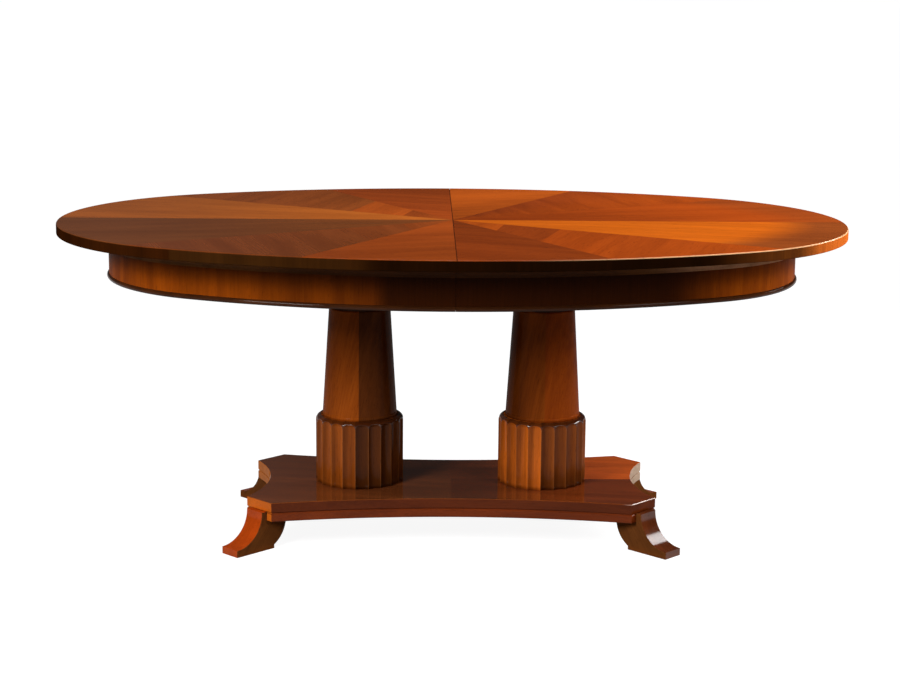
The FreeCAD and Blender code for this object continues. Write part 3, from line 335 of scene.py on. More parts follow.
# Where the painted shade on each drum's right part begins.
SHADE_EDGE_ACROSS = -0.00804
STAVE_DRAW = 40
LIT_AND_SHADED_HALVES = {
    "left": ((0.42, 0.093, 0.008, 1), (0.085, 0.022, 0.003, 1)),
    "right": ((0.78, 0.165, 0.014, 1), (0.270, 0.062, 0.008, 1)),
}
DRUM_SHADING = ((0.62, 0.60, 0.58, 1), (1.36, 1.4, 1.42, 1))
STAVE_LAYER = (0.45, (0.15, 0.034, 0.006, 1))
# Painted shadow on one wall of every flute.
FLUTE_SHADOW_LIMITS = (0.1, -0.42)
FLUTE_SHADOW_LAYER = (0.6, (0.045, 0.010, 0.002, 1))
LOW_LEVELS = (DRUM_SIZES["Foot"] + 0.075, DRUM_SIZES["Foot"] + 0.008)
LOW_SHARES = {"all": 0.2, "shaded_half": 0.35}
LOW_TONE = (0.02, 0.005, 0.001, 1)
HOLLOW_LIMITS = (DRUM_SIZES["Radius"] - 0.0012, DRUM_SIZES["Radius"] - DRUM_SIZES["Flute Depth"])
HOLLOW_LAYER = (0.25, (0.06, 0.014, 0.004, 1))
# Lighter arrises, partly glaze wiped off and partly a painted highlight.
ARRIS_LIMITS = (DRUM_SIZES["Radius"] - 0.0009, DRUM_SIZES["Radius"] - 0.0002)
ARRIS_WIPE_AND_HIGHLIGHT = (0.3, (0.42, 0.13, 0.03, 1))
SHOULDER_FOOT = DRUM_SIZES["Foot"] + DRUM_SIZES["Straight"]
SHOULDER_LEVELS = (SHOULDER_FOOT - 0.005, SHOULDER_FOOT + 0.001)
SHOULDER_LAYER = (0.85, (0.050, 0.010, 0.002, 1))
UNCUT_LIMITS = (0.0010, 0.0003)
DRUM_GLOSS = 0.15


def new_tree(name, sizes):
    """An empty tree of geometry nodes with named inputs, and their sockets."""
    tree = bpy.data.node_groups.new(name, "GeometryNodeTree")
    tree.interface.new_socket("Geometry", in_out="INPUT", socket_type="NodeSocketGeometry")
    for size, kind in sizes.items():
        tree.interface.new_socket(size, in_out="INPUT", socket_type="NodeSocket" + kind)
    tree.interface.new_socket("Geometry", in_out="OUTPUT", socket_type="NodeSocketGeometry")
    return tree, tree.nodes.new("NodeGroupInput").outputs


def close_tree(tree, geometry, finish):
    """Ends a tree: real faces, with their finish on them."""
    real = add(tree, "GeometryNodeRealizeInstances", Geometry=geometry).outputs[0]
    dressed = add(tree, "GeometryNodeSetMaterial", Geometry=real, Material=finish).outputs[0]
    add(tree, "NodeGroupOutput", Geometry=dressed)


def grown(name, tree, start, sizes):
    """A piece with the plain mesh that a tree makes from a start mesh."""
    piece = bpy.data.objects.new(name, start)
    scene.collection.objects.link(piece)
    form = piece.modifiers.new("form", "NODES")
    form.node_group = tree
    for socket in tree.interface.items_tree:
        if socket.in_out == "INPUT" and socket.name in sizes:
            form[socket.identifier] = sizes[socket.name]
    shaped = piece.evaluated_get(bpy.context.evaluated_depsgraph_get())
    mesh = bpy.data.meshes.new_from_object(shaped)
    piece.modifiers.remove(form)
    piece.data = mesh
    mesh.name = name
    return piece


drum_inputs = {size: "Float" for size in DRUM_SIZES}
drum_inputs.update({"Flute Count": "Int", "Axis": "Float", "Finish": "Material"})
tree, drum_size = new_tree("fluted_drum", drum_inputs)
shoulder_start = calc(tree, "ADD", drum_size["Foot"], drum_size["Straight"])
drum_top = calc(tree, "ADD", shoulder_start, drum_size["Shoulder"])
crown_radius = calc(tree, "SUBTRACT", drum_size["Radius"], drum_size["Shoulder"])
pitch = calc(tree, "DIVIDE", times(tree, drum_size["Radius"], 2 * math.pi), drum_size["Flute Count"])
half_flute = times(tree, calc(tree, "SUBTRACT", pitch, drum_size["Flute Land"]), 0.5)
half_squared = times(tree, half_flute, half_flute)
depth_squared = times(tree, drum_size["Flute Depth"], drum_size["Flute Depth"])
twice_depth = times(tree, drum_size["Flute Depth"], 2.0)
gouge = calc(tree, "DIVIDE", calc(tree, "ADD", half_squared, depth_squared), twice_depth)
gouge_squared = times(tree, gouge, gouge)
flute_head = calc(tree, "ADD", drum_size["Foot"], drum_size["Head Start"])
head_slope = calc(tree, "DIVIDE", half_flute, drum_size["Head Length"])


def sheet_of_rows(tree, rows):
    """A flat sheet to be wrapped round the drum, and the two shares that run round and along it."""
    size = {"Size_X": 1.0, "Size_Y": 1.0, "Vertices_X": FLUTE_COUNT * FLUTE_COLUMNS + 1, "Vertices_Y": rows}
    sheet = add(tree, "GeometryNodeMeshGrid", **size).outputs["Mesh"]
    spot = parts_of(tree, add(tree, "GeometryNodeInputPosition").outputs[0])
    return sheet, calc(tree, "ADD", spot[0], 0.5), calc(tree, "ADD", spot[1], 0.5)


def wrapped(tree, sheet, around, reach, level):
    """The sheet wrapped round the drum's axis."""
    turn = times(tree, around, 2 * math.pi)
    x = calc(tree, "ADD", drum_size["Axis"], times(tree, reach, calc(tree, "COSINE", turn)))
    y = times(tree, reach, calc(tree, "SINE", turn))
    spot = add(tree, "ShaderNodeCombineXYZ", X=x, Y=y, Z=level).outputs[0]
    return add(tree, "GeometryNodeSetPosition", Geometry=sheet, Position=spot).outputs[0]


def fluted(tree, around, level, plain_reach):
    """The plain reach, hollowed by the flutes, with their arrises a little rounded."""
    phase = calc(tree, "FRACT", calc(tree, "ADD", times(tree, around, drum_size["Flute Count"]), 0.5))
    aside = times(tree, calc(tree, "SUBTRACT", phase, 0.5), pitch)
    above = calc(tree, "MAXIMUM", calc(tree, "SUBTRACT", level, flute_head), 0.0)
    rise = times(tree, above, head_slope)
    off_squared = calc(tree, "ADD", times(tree, aside, aside), times(tree, rise, rise))
    arc = calc(tree, "SQRT", calc(tree, "MAXIMUM", calc(tree, "SUBTRACT", gouge_squared, off_squared), 0.0))
    hollow = calc(tree, "SUBTRACT", arc, calc(tree, "SUBTRACT", gouge, drum_size["Flute Depth"]))
    cut_reach = calc(tree, "SUBTRACT", drum_size["Radius"], hollow)
    return calc(tree, "SMOOTH_MIN", plain_reach, cut_reach, drum_size["Arris"])


def joined(tree, *zones):
    """Several surfaces as one."""
    made = add(tree, "GeometryNodeJoinGeometry")
    for zone in zones:
        tree.links.new(zone, made.inputs[0])
    return made.outputs[0]


sheet, around, along = sheet_of_rows(tree, SIDE_ROWS)
down = calc(tree, "SUBTRACT", 1.0, along)
climb = calc(tree, "SUBTRACT", 1.0, times(tree, down, down))
level = calc(tree, "ADD", drum_size["Foot"], times(tree, drum_size["Straight"], climb))
side_zone = wrapped(tree, sheet, around, fluted(tree, around, level, drum_size["Radius"]), level)
sheet, around, along = sheet_of_rows(tree, SHOULDER_ROWS)
bend = times(tree, calc(tree, "POWER", along, SHOULDER_SPREAD), math.pi / 2)
level = calc(tree, "ADD", shoulder_start, times(tree, drum_size["Shoulder"], calc(tree, "SINE", bend)))
bend_reach = times(tree, drum_size["Shoulder"], calc(tree, "COSINE", bend))
plain_reach = calc(tree, "ADD", crown_radius, bend_reach)
shoulder_zone = wrapped(tree, sheet, around, fluted(tree, around, level, plain_reach), level)
rounded = joined(tree, shoulder_zone, side_zone)
smooth = add(tree, "GeometryNodeSetShadeSmooth", Geometry=rounded, Shade_Smooth=True).outputs[0]
sheet, around, along = sheet_of_rows(tree, DISC_ROWS)
foot_reach = times(tree, fluted(tree, around, drum_size["Foot"], drum_size["Radius"]), along)
foot_disc = wrapped(tree, sheet, around, foot_reach, drum_size["Foot"])
sheet, around, along = sheet_of_rows(tree, DISC_ROWS)
inward = calc(tree, "SUBTRACT", 1.0, along)
crown_reach = times(tree, fluted(tree, around, drum_top, crown_radius), inward)
crown_disc = wrapped(tree, sheet, around, crown_reach, drum_top)
discs = joined(tree, crown_disc, foot_disc)
level_discs = add(tree, "GeometryNodeSetShadeSmooth", Geometry=discs, Shade_Smooth=False).outputs[0]
whole = joined(tree, level_discs, smooth)
closed = add(tree, "GeometryNodeMergeByDistance", Geometry=whole, Distance=WELD).outputs[0]
close_tree(tree, closed, drum_size["Finish"])
drum_tree = tree


def distance(tree, x, y):
    """How far a place is from the middle."""
    return calc(tree, "SQRT", calc(tree, "ADD", times(tree, x, x), times(tree, y, y)))


for side, middle in PEDESTALS.items():
    finish, tree, place = new_finish(f"fluted_cherry_{side}")
    axes = parts_of(tree, place)
    across = calc(tree, "SUBTRACT", axes[0], middle)
    reach = distance(tree, across, axes[1])
    turn = times(tree, calc(tree, "ARCTAN2", axes[1], across), FLUTE_COUNT / (2 * math.pi))
    stave = calc(tree, "FLOOR", calc(tree, "ADD", turn, 0.5))
    stave_place = add(tree, "ShaderNodeCombineXYZ", X=stave, Y=middle * STAVE_DRAW).outputs[0]
    draw = add(tree, "ShaderNodeTexWhiteNoise", {"noise_dimensions": "3D"}, Vector=stave_place).outputs[0]
    figure, fibre, pores = grain(tree, place, 1.1, UPRIGHT)
    # Painted light and shade: each drum's right part takes the darker tone, and the right drum is lighter.
    lit_half, shaded_half = LIT_AND_SHADED_HALVES[side]
    on_shaded_half = between(tree, across, SHADE_EDGE_ACROSS - JOINT_WIDTH, SHADE_EDGE_ACROSS + JOINT_WIDTH)
    toned = figured(tree, tint(tree, on_shaded_half, lit_half, shaded_half), figure, fibre, DRUM_SHADING)
    toned = layered(tree, toned, draw, *STAVE_LAYER)
    in_flute = calc(tree, "SUBTRACT", turn, stave)
    # Painted shadow on one wall of every flute.
    toned = layered(tree, toned, between(tree, in_flute, *FLUTE_SHADOW_LIMITS), *FLUTE_SHADOW_LAYER)
    low_share = calc(tree, "ADD", LOW_SHARES["all"], times(tree, on_shaded_half, LOW_SHARES["shaded_half"]))
    toned = layered(tree, toned, between(tree, axes[2], *LOW_LEVELS), low_share, LOW_TONE)
    toned = layered(tree, toned, between(tree, reach, *HOLLOW_LIMITS), *HOLLOW_LAYER)
    # Lighter arrises, partly glaze wiped off and partly a painted highlight.
    toned = layered(tree, toned, between(tree, reach, *ARRIS_LIMITS), *ARRIS_WIPE_AND_HIGHLIGHT)
    rise = calc(tree, "MAXIMUM", calc(tree, "SUBTRACT", axes[2], SHOULDER_FOOT), 0.0)
    bend_squared = calc(tree, "SUBTRACT", DRUM_SIZES["Shoulder"] ** 2, times(tree, rise, rise))
    bend = calc(tree, "SQRT", bend_squared)
    plain = calc(tree, "ADD", DRUM_SIZES["Radius"] - DRUM_SIZES["Shoulder"], bend)
    uncut = between(tree, calc(tree, "SUBTRACT", plain, reach), *UNCUT_LIMITS)
    on_shoulder = times(tree, uncut, between(tree, axes[2], *SHOULDER_LEVELS))
    toned = layered(tree, toned, on_shoulder, *SHOULDER_LAYER)
    gloss = calc(tree, "ADD", DRUM_GLOSS, times(tree, on_shoulder, 1 - DRUM_GLOSS))
    lacquer(tree, toned, fibre, pores, rough=0.38, gloss=gloss, gloss_rough=0.13, depth=1.4)
    start = bpy.data.meshes.new("drum_start")
    drum = grown(f"fluted_drum_{side}", drum_tree, start, {**DRUM_SIZES, "Axis": middle, "Finish": finish})
    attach(drum, "base")
    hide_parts(f"drum_{side}")


# Columns: coopered cones under cherry veneer, laid in two sheets that meet up the front and back.
# The sheets come from different flitches, so one side of a column is darker than the other, and the
# right column's left edge is darkened further as painted shade. A short turned skirt under each column,
# glued on and veneered with it, reaches down to the drum.
# Sheet tones by column; the first tone darkens the right column's left edge as painted shade.
SHEET_AND_EDGE_SHADE_TONES = {
    "left": ((0.28, 0.056, 0.005, 1), (0.29, 0.058, 0.005, 1), (0.098, 0.023, 0.004, 1)),
    "right": ((0.095, 0.019, 0.002, 1), (0.27, 0.054, 0.005, 1), (0.29, 0.048, 0.004, 1)),
}
EDGE_SHADE_LIMITS = (-0.085, -0.02)
COLUMN_SHADING = ((0.66, 0.62, 0.6, 1), (1.34, 1.4, 1.45, 1))
COLUMN_GRAIN = (0, math.radians(78), 0)
SKIRT_HEIGHT = 0.0095
SKIRT_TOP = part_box("column_left")[0].z
SKIRT_RADII = (0.0909, 0.0905)
SKIRT_SEGMENTS = 128


def built(name, shape, material):
    """A piece with the mesh of a finished shape."""
    mesh = bpy.data.meshes.new(name)
    shape.to_mesh(mesh)
    shape.free()
    mesh.materials.append(material)
    piece = bpy.data.objects.new(name, mesh)
    scene.collection.objects.link(piece)
    return piece


for side, middle in PEDESTALS.items():
    finish, tree, place = new_finish(f"column_veneer_{side}")
    across = calc(tree, "SUBTRACT", parts_of(tree, place)[0], middle)
    figure, fibre, pores = grain(tree, place, 0.9, COLUMN_GRAIN)
    # Painted shade on the right column's left edge.
    edge_shade_tone, first_tone, second_tone = SHEET_AND_EDGE_SHADE_TONES[side]
    shaded_first_sheet = tint(tree, between(tree, across, *EDGE_SHADE_LIMITS), edge_shade_tone, first_tone)
    sheets = tint(tree, between(tree, across, -JOINT_WIDTH, JOINT_WIDTH), shaded_first_sheet, second_tone)
    veneer = figured(tree, sheets, figure, fibre, COLUMN_SHADING)
    lacquer(tree, veneer, fibre, pores, rough=0.32, gloss=0.12, gloss_rough=0.14)
    wear(finish, f"column_{side}")
    cone = bmesh.new()
    raised = Matrix.Translation((middle, 0, SKIRT_TOP - SKIRT_HEIGHT / 2))
    bmesh.ops.create_cone(cone, cap_ends=True, segments=SKIRT_SEGMENTS, radius1=SKIRT_RADII[0],
                          radius2=SKIRT_RADII[1], depth=SKIRT_HEIGHT, matrix=raised)
    for ring in cone.faces:
        ring.smooth = len(ring.verts) == 4
    skirt = built(f"column_skirt_{side}", cone, finish)
    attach(skirt, "base")


# Necks and tie rods: a plain dark stained block above each column, bored for the zinc plated rod that
# clamps the whole pedestal together. The rods are threaded from end to end.
NECK_TONES = ((0.030, 0.009, 0.003, 1), (0.070, 0.020, 0.006, 1))
ZINC = (0.56, 0.57, 0.60, 1)
THREAD_PITCH = 0.00175
THREAD_STRENGTH = 0.8
HANDLED_STRENGTH = 0.06
HANDLED_STRETCH = (700, 700, 700)
CLOUD_STRETCH = (60, 60, 60)
CLOUD_LIMITS = (0.35, 0.7)
DULLED_SHARE = 0.72
METAL_RELIEF = 0.0002
METAL_SPREAD = 0.16


def plain_wood(name, tones, scale=1.0, turn=(0, 0, 0), **sheen):
    """A finish for pieces of one wood in one tone."""
    material, tree, place = new_finish(name)
    figure, fibre, pores = grain(tree, place, scale, turn)
    lacquer(tree, wooden(tree, figure, fibre, *tones), fibre, pores, **sheen)
    return material


def metal(name, colour, rough, thread=None):
    """Plated or solid metal with a faintly uneven, handled surface, or a thread along Z of a given pitch."""
    material, tree, place = new_finish(name)
    cloud = noise(tree, stretched(tree, place, CLOUD_STRETCH), detail=4.0, rough=0.6)
    if thread:
        bumps = calc(tree, "SINE", times(tree, parts_of(tree, place)[2], 2 * math.pi / thread))
        strength = THREAD_STRENGTH
    else:
        bumps = noise(tree, stretched(tree, place, HANDLED_STRETCH), detail=2.0, rough=0.5)
        strength = HANDLED_STRENGTH
    dulled = [part * DULLED_SHARE for part in colour[:3]] + [1]
    shade = tint(tree, between(tree, cloud, *CLOUD_LIMITS), dulled, colour)
    dull = calc(tree, "ADD", rough - METAL_SPREAD / 2, times(tree, cloud, METAL_SPREAD))
    relief = add(tree, "ShaderNodeBump", Strength=strength, Distance=METAL_RELIEF, Height=bumps).outputs[0]
    shader = add(tree, "ShaderNodeBsdfPrincipled", Base_Color=shade, Roughness=dull, Normal=relief,
                 Metallic=1.0)
    add(tree, "ShaderNodeOutputMaterial", Surface=shader.outputs[0])
    return material


neck_wood = plain_wood("dark_stained_neck", NECK_TONES, turn=UPRIGHT, rough=0.45, gloss=0.2)
wear(neck_wood, "neck_left", "neck_right")
zinc = metal("zinc_plated_steel", ZINC, 0.32)
wear(metal("zinc_plated_thread", ZINC, 0.3, THREAD_PITCH), "tie_rods")
wear(zinc, "rod_nuts", "pinion_stud", "equalizer_pinion", "rack_left", "rack_right")


# Slides: pale waxed hardwood bearers, rails, runners, cleats and blocks, screwed and glued under the
# halves and on the pedestals, and never stained. The cross pieces have their grain across the table.
LONG_TONES = ((0.36, 0.22, 0.11, 1), (0.56, 0.38, 0.20, 1))
CROSS_TONES = ((0.34, 0.20, 0.10, 1), (0.54, 0.36, 0.19, 1))
CROSSWISE = (0, 0, math.radians(90))

long_wood = plain_wood("waxed_slide_wood", LONG_TONES, 1.2, rough=0.5, gloss=0.05)
wear(long_wood, "rail_front", "rail_back", "runner_front_left", "runner_front_right", "runner_back_left",
     "runner_back_right", "glue_blocks_left", "glue_blocks_right")
cross_wood = plain_wood("waxed_cross_wood", CROSS_TONES, 1.2, CROSSWISE, rough=0.5, gloss=0.05)
wear(cross_wood, "bearer_left", "bearer_right", "gear_bridge", "cleat_left", "cleat_right")


# Apron: bent plies under cherry veneer with its grain upright, darkened towards the middle and under
# the moulding as painted shade, and above it a cove moulding that is bent to the same curve, darker in
# the middle as painted shade and with a painted sheen at its right end. Glue blocks hold the apron to
# the top.
APRON_TONES = ((0.23, 0.043, 0.002, 1), (0.42, 0.080, 0.003, 1))
STRIPE_STRETCH = (26, 26, 0.4)
STRIPE_LIMITS = (0.4, 0.62)
STRIPE_LAYER = (0.4, (0.17, 0.029, 0.002, 1))
# Painted shade under the moulding's overhang.
OVERHANG_SHADE_LEVELS = (0.655, 0.695)
OVERHANG_SHADE_LAYER = (0.45, (0.03, 0.006, 0.001, 1))
# Painted shade: the apron darkens from its left end towards the middle and stays light at its right end.
SHADE_RAMP_FROM = (-0.82, -0.22)
SHADE_RAMP_SHARE = 0.62
APRON_SHADE_FROM = (-0.24, -0.14)
APRON_SHADE_TO = (0.645, 0.47)
APRON_SHADE_TONES = ((0.024, 0.005, 0.001, 1), (0.048, 0.010, 0.001, 1))
# Cove tones: darker in the middle as painted shade, with a painted sheen at the right end.
COVE_TONES_AND_PAINTED_LIGHT = {
    "middle": ((0.060, 0.016, 0.003, 1), (0.110, 0.030, 0.005, 1)),
    "end": ((0.13, 0.045, 0.010, 1), (0.25, 0.085, 0.019, 1)),
    "lit_right_end": ((0.40, 0.185, 0.095, 1), (0.64, 0.30, 0.155, 1)),
}
COVE_END_LIMITS = (0.28, 0.56)
COVE_SHEEN_LIMITS = (0.40, 0.60)

finish, tree, place = new_finish("upright_apron_veneer")
axes = parts_of(tree, place)
figure, fibre, pores = grain(tree, place, turn=UPRIGHT)
stripes = noise(tree, stretched(tree, place, STRIPE_STRETCH), detail=2.0, rough=0.5)
striped = wooden(tree, figure, fibre, *APRON_TONES)
striped = layered(tree, striped, between(tree, stripes, *STRIPE_LIMITS), *STRIPE_LAYER)
# Painted shade under the moulding's overhang.
striped = layered(tree, striped, between(tree, axes[2], *OVERHANG_SHADE_LEVELS), *OVERHANG_SHADE_LAYER)
# Painted shade towards the middle of the apron.
shade_ramp = times(tree, between(tree, axes[0], *SHADE_RAMP_FROM, soft=False), SHADE_RAMP_SHARE)
apron_shade = calc(tree, "MAXIMUM", shade_ramp, between(tree, axes[0], *APRON_SHADE_FROM))
apron_shade = times(tree, apron_shade, between(tree, axes[0], *APRON_SHADE_TO))
veneer = tint(tree, apron_shade, striped, tint(tree, fibre, *APRON_SHADE_TONES))
lacquer(tree, veneer, fibre, pores, rough=0.32, gloss=0.08, gloss_rough=0.14)
wear(finish, "apron_left", "apron_right")

finish, tree, place = new_finish("cove_moulding")
axes = parts_of(tree, place)
figure, fibre, pores = grain(tree, place)
coves = woods(tree, figure, fibre, COVE_TONES_AND_PAINTED_LIGHT)
# Painted sheen at the cove's right end, and painted shade in its middle.
lit_cove_end = tint(tree, between(tree, axes[0], *COVE_SHEEN_LIMITS), coves["end"], coves["lit_right_end"])
to_end = between(tree, calc(tree, "ABSOLUTE", axes[0]), *COVE_END_LIMITS)
lacquer(tree, tint(tree, to_end, coves["middle"], lit_cove_end), fibre, pores, rough=0.3, gloss=0.15)
wear(finish, "moulding_left", "moulding_right")


# Seam tongues: thin stained strips behind the apron's ends, glued to the right half, that close the
# joint from inside when the table is shut, and a dark film on that half's seam face for the same end.
TONGUE_REACH = 0.007
TONGUE_ROOT = 0.024
TONGUE_FACES = (0.4671, 0.4688)
TONGUE_LEVELS = (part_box("bead_left")[0].z, 0.734)
TONGUE_EASE = 0.0004
SEAL_ROOM = 0.00005
SEAL_INSET = 0.004
SEAL_HALF = 0.606
STRIP_TONES = ((0.030, 0.009, 0.003, 1), (0.060, 0.018, 0.005, 1))


def block(shape, low, high):
    """Adds a block to a shape, between its lowest and its highest corner."""
    corners = bmesh.ops.create_cube(shape, size=1.0)["verts"]
    bmesh.ops.scale(shape, vec=Vector(high) - Vector(low), verts=corners)
    bmesh.ops.translate(shape, vec=(Vector(low) + Vector(high)) / 2, verts=corners)


dark_strip = plain_wood("dark_strip", STRIP_TONES, turn=UPRIGHT, rough=0.5, gloss=0.1)
strips = bmesh.new()
for hand in (-1, 1):
    front, back = sorted(hand * face for face in TONGUE_FACES)
    block(strips, (-TONGUE_REACH, front, TONGUE_LEVELS[0]), (TONGUE_ROOT, back, TONGUE_LEVELS[1]))
bmesh.ops.bevel(strips, geom=strips.edges[:], offset=TONGUE_EASE, segments=2, affect="EDGES")
half_low, half_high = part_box("top_right")
seam_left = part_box("top_left")[1].x + SEAL_ROOM
block(strips, (seam_left, -SEAL_HALF, half_low.z + SEAL_INSET),
      (half_low.x, SEAL_HALF, half_high.z - SEAL_INSET))
tongues = built("seam_tongues", strips, dark_strip)
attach(tongues, "right_half")


# Bead: a half round hardwood strip along the foot of the apron. It is stained almost black before it
# is glued on, and has more gloss than the apron.
BEAD_TONES = ((0.030, 0.009, 0.003, 1), (0.070, 0.020, 0.005, 1))

wear(plain_wood("dark_bead", BEAD_TONES, rough=0.3, gloss=0.5), "bead_left", "bead_right")


# Tops: two halves on the runners of the slides, veneered as one sunburst of twelve wedges, with a star
# let into it that can't be told from its wedge at the back right. Each quarter is a mirror image of the
# next, so the same sheet looks light in one and dark in another. The quarters' tones, lighter on the
# right than on the left, are partly the veneer's own and partly painted light.
TOP_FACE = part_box("top_right")[1].z
TOP_HALVES = (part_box("top_right")[1].x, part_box("top_right")[1].y)
WEDGE = math.radians(30)
STAR_OUTER = (0.9577, 0.2877, 0.2803)
STAR_INNER = (0.9763, 0.2163, 0.1331)
# Wedge tones, partly the veneer's own and partly painted light, lighter on the right.
WEDGE_TONES_AND_PAINTED_LIGHT = {
    "back_right": [(0.39, 0.058, 0.004, 1), (0.38, 0.058, 0.004, 1), (0.45, 0.081, 0.006, 1)],
    "back_left": [(0.34, 0.082, 0.010, 1), (0.235, 0.052, 0.008, 1), (0.26, 0.043, 0.005, 1)],
    "front_left": [(0.135, 0.036, 0.008, 1), (0.150, 0.034, 0.007, 1), (0.25, 0.044, 0.005, 1)],
    "front_right": [(0.63, 0.123, 0.005, 1), (0.39, 0.060, 0.004, 1), (0.235, 0.038, 0.004, 1)],
}
STAR_TONES = {
    "back_left": ((0.32, 0.058, 0.006, 1), (0.22, 0.040, 0.005, 1)),
    "front_left": ((0.165, 0.036, 0.007, 1), (0.19, 0.038, 0.006, 1)),
    "front_right": ((0.28, 0.044, 0.004, 1), (0.45, 0.076, 0.005, 1)),
}
NEAR_LINE_BEARINGS = (math.radians(36), math.radians(60))
NEAR_LINE_TONE = (0.30, 0.046, 0.005, 1)
FADE_LIMITS = (0.1, 0.75)
FADES = {"left": (1.5, -0.52), "back_right": (0.66, 0.40), "front_right": (0.86, 0.14)}
RIGHT_END_LIMITS = (0.78, 0.94)
RIGHT_END_SHARE = 0.95
BACK_END_CHANGE = -0.45
RIGHT_END_TONE = (0.25, 0.053, 0.009, 1)
GRAIN_TURNS = (12, 107, 20)
WEDGE_SHIFTS = (3.1, 2.3)
QUARTER_SHIFTS = (0.13, 0.27)
TOP_SHADING = ((0.82, 0.80, 0.78, 1), (1.19, 1.22, 1.24, 1))
VENEER_JOINT = 0.0006
JOINT_LINE = 0.0009
JOINT_LAYER = (0.35, (0.05, 0.012, 0.004, 1))
SEAM_LINE = 0.0022
SEAM_LAYER = (0.7, (0.02, 0.006, 0.002, 1))
TOP_GLOSS = 0.5

finish, tree, place = new_finish("sunburst_veneer")
axes = parts_of(tree, place)
out_x = calc(tree, "ABSOLUTE", axes[0])
out_y = calc(tree, "ABSOLUTE", axes[1])


def beyond(tree, slope_x, slope_y, offset):
    """How far a place is beyond a straight joint in its quarter."""
    height = calc(tree, "ADD", times(tree, out_x, slope_x), times(tree, out_y, slope_y))
    return calc(tree, "SUBTRACT", height, offset)


def past(tree, height):
    """Whether a place is on the far side of a joint, softened over the joint's width."""
    return between(tree, height, -VENEER_JOINT, VENEER_JOINT)


def joint_line(tree, height, width):
    """A thin dark line along a joint."""
    return calc(tree, "SUBTRACT", 1.0, between(tree, calc(tree, "ABSOLUTE", height), 0.0, width))


def on_the_way(tree, share, start, end):
    """A value that goes from start to end as a share goes from 0 to 1."""
    return calc(tree, "ADD", start, times(tree, share, calc(tree, "SUBTRACT", end, start)))


over_first = beyond(tree, -math.sin(WEDGE), math.cos(WEDGE), 0.0)
over_second = beyond(tree, -math.sin(2 * WEDGE), math.cos(2 * WEDGE), 0.0)
wedge_2 = past(tree, over_first)
wedge_3 = past(tree, over_second)
past_outer = past(tree, beyond(tree, *STAR_OUTER))
past_inner = past(tree, beyond(tree, *STAR_INNER))
to_right = past(tree, axes[0])
to_back = past(tree, axes[1])
bearing = calc(tree, "ARCTAN2", out_y, out_x)

quarter_colours = {}
for quarter, (first, second, third) in WEDGE_TONES_AND_PAINTED_LIGHT.items():
    if quarter in STAR_TONES:
        ring, core = STAR_TONES[quarter]
        star = tint(tree, past_inner, core, ring)
        middle_wedge = tint(tree, past_outer, star, second)
    else:
        middle_wedge = tint(tree, between(tree, bearing, *NEAR_LINE_BEARINGS), second, NEAR_LINE_TONE)
    colour = tint(tree, wedge_2, first, middle_wedge)
    quarter_colours[quarter] = tint(tree, wedge_3, colour, third)
burst = by_quarter(tree, to_right, to_back, quarter_colours)
share_x = calc(tree, "DIVIDE", axes[0], TOP_HALVES[0])
share_y = calc(tree, "DIVIDE", axes[1], TOP_HALVES[1])
reach = distance(tree, share_x, share_y)
outward = between(tree, reach, *FADE_LIMITS, soft=False)
fades = {}
for part, (at_middle, change) in FADES.items():
    fades[part] = calc(tree, "ADD", at_middle, times(tree, outward, change))
right_fade = on_the_way(tree, to_back, fades["front_right"], fades["back_right"])
burst = tint(tree, 1.0, burst, on_the_way(tree, to_right, fades["left"], right_fade), "MULTIPLY")
at_end = times(tree, between(tree, reach, *RIGHT_END_LIMITS), calc(tree, "SUBTRACT", 1.0, wedge_2))
end_share = calc(tree, "ADD", RIGHT_END_SHARE, times(tree, to_back, BACK_END_CHANGE))
burst = layered(tree, burst, at_end, times(tree, to_right, end_share), RIGHT_END_TONE)

first_turn, second_turn, third_turn = (math.radians(turn) for turn in GRAIN_TURNS)
turn = calc(tree, "ADD", first_turn, times(tree, wedge_2, second_turn - first_turn))
turn = calc(tree, "ADD", turn, times(tree, wedge_3, third_turn - second_turn))
cosine = calc(tree, "COSINE", turn)
sine = calc(tree, "SINE", turn)
run = calc(tree, "ADD", times(tree, out_x, cosine), times(tree, out_y, sine))
cross = calc(tree, "SUBTRACT", times(tree, out_y, cosine), times(tree, out_x, sine))
second_shift, third_shift = WEDGE_SHIFTS
right_shift, back_shift = QUARTER_SHIFTS
wedge_shift = calc(tree, "ADD", times(tree, wedge_2, second_shift), times(tree, wedge_3, third_shift))
quarter_shift = calc(tree, "ADD", times(tree, to_right, right_shift), times(tree, to_back, back_shift))
shift = calc(tree, "ADD", wedge_shift, quarter_shift)
laid = add(tree, "ShaderNodeCombineXYZ", X=run, Y=cross, Z=shift).outputs[0]
figure, fibre, pores = grain(tree, laid, 0.8)
veneer = figured(tree, burst, figure, fibre, TOP_SHADING)
lines = joint_line(tree, over_first, JOINT_LINE)
for height in (over_second, axes[1]):
    lines = calc(tree, "MAXIMUM", lines, joint_line(tree, height, JOINT_LINE))
veneer = layered(tree, veneer, lines, *JOINT_LAYER)
veneer = layered(tree, veneer, joint_line(tree, axes[0], SEAM_LINE), *SEAM_LAYER)

# The edge band is laid in short lengths that differ in tone. It is darkened in the middle as painted
# shade and paler round the right end as painted light. The arris above it carries a painted highlight
# along the right front.
BAND_LENGTHS = 4.1
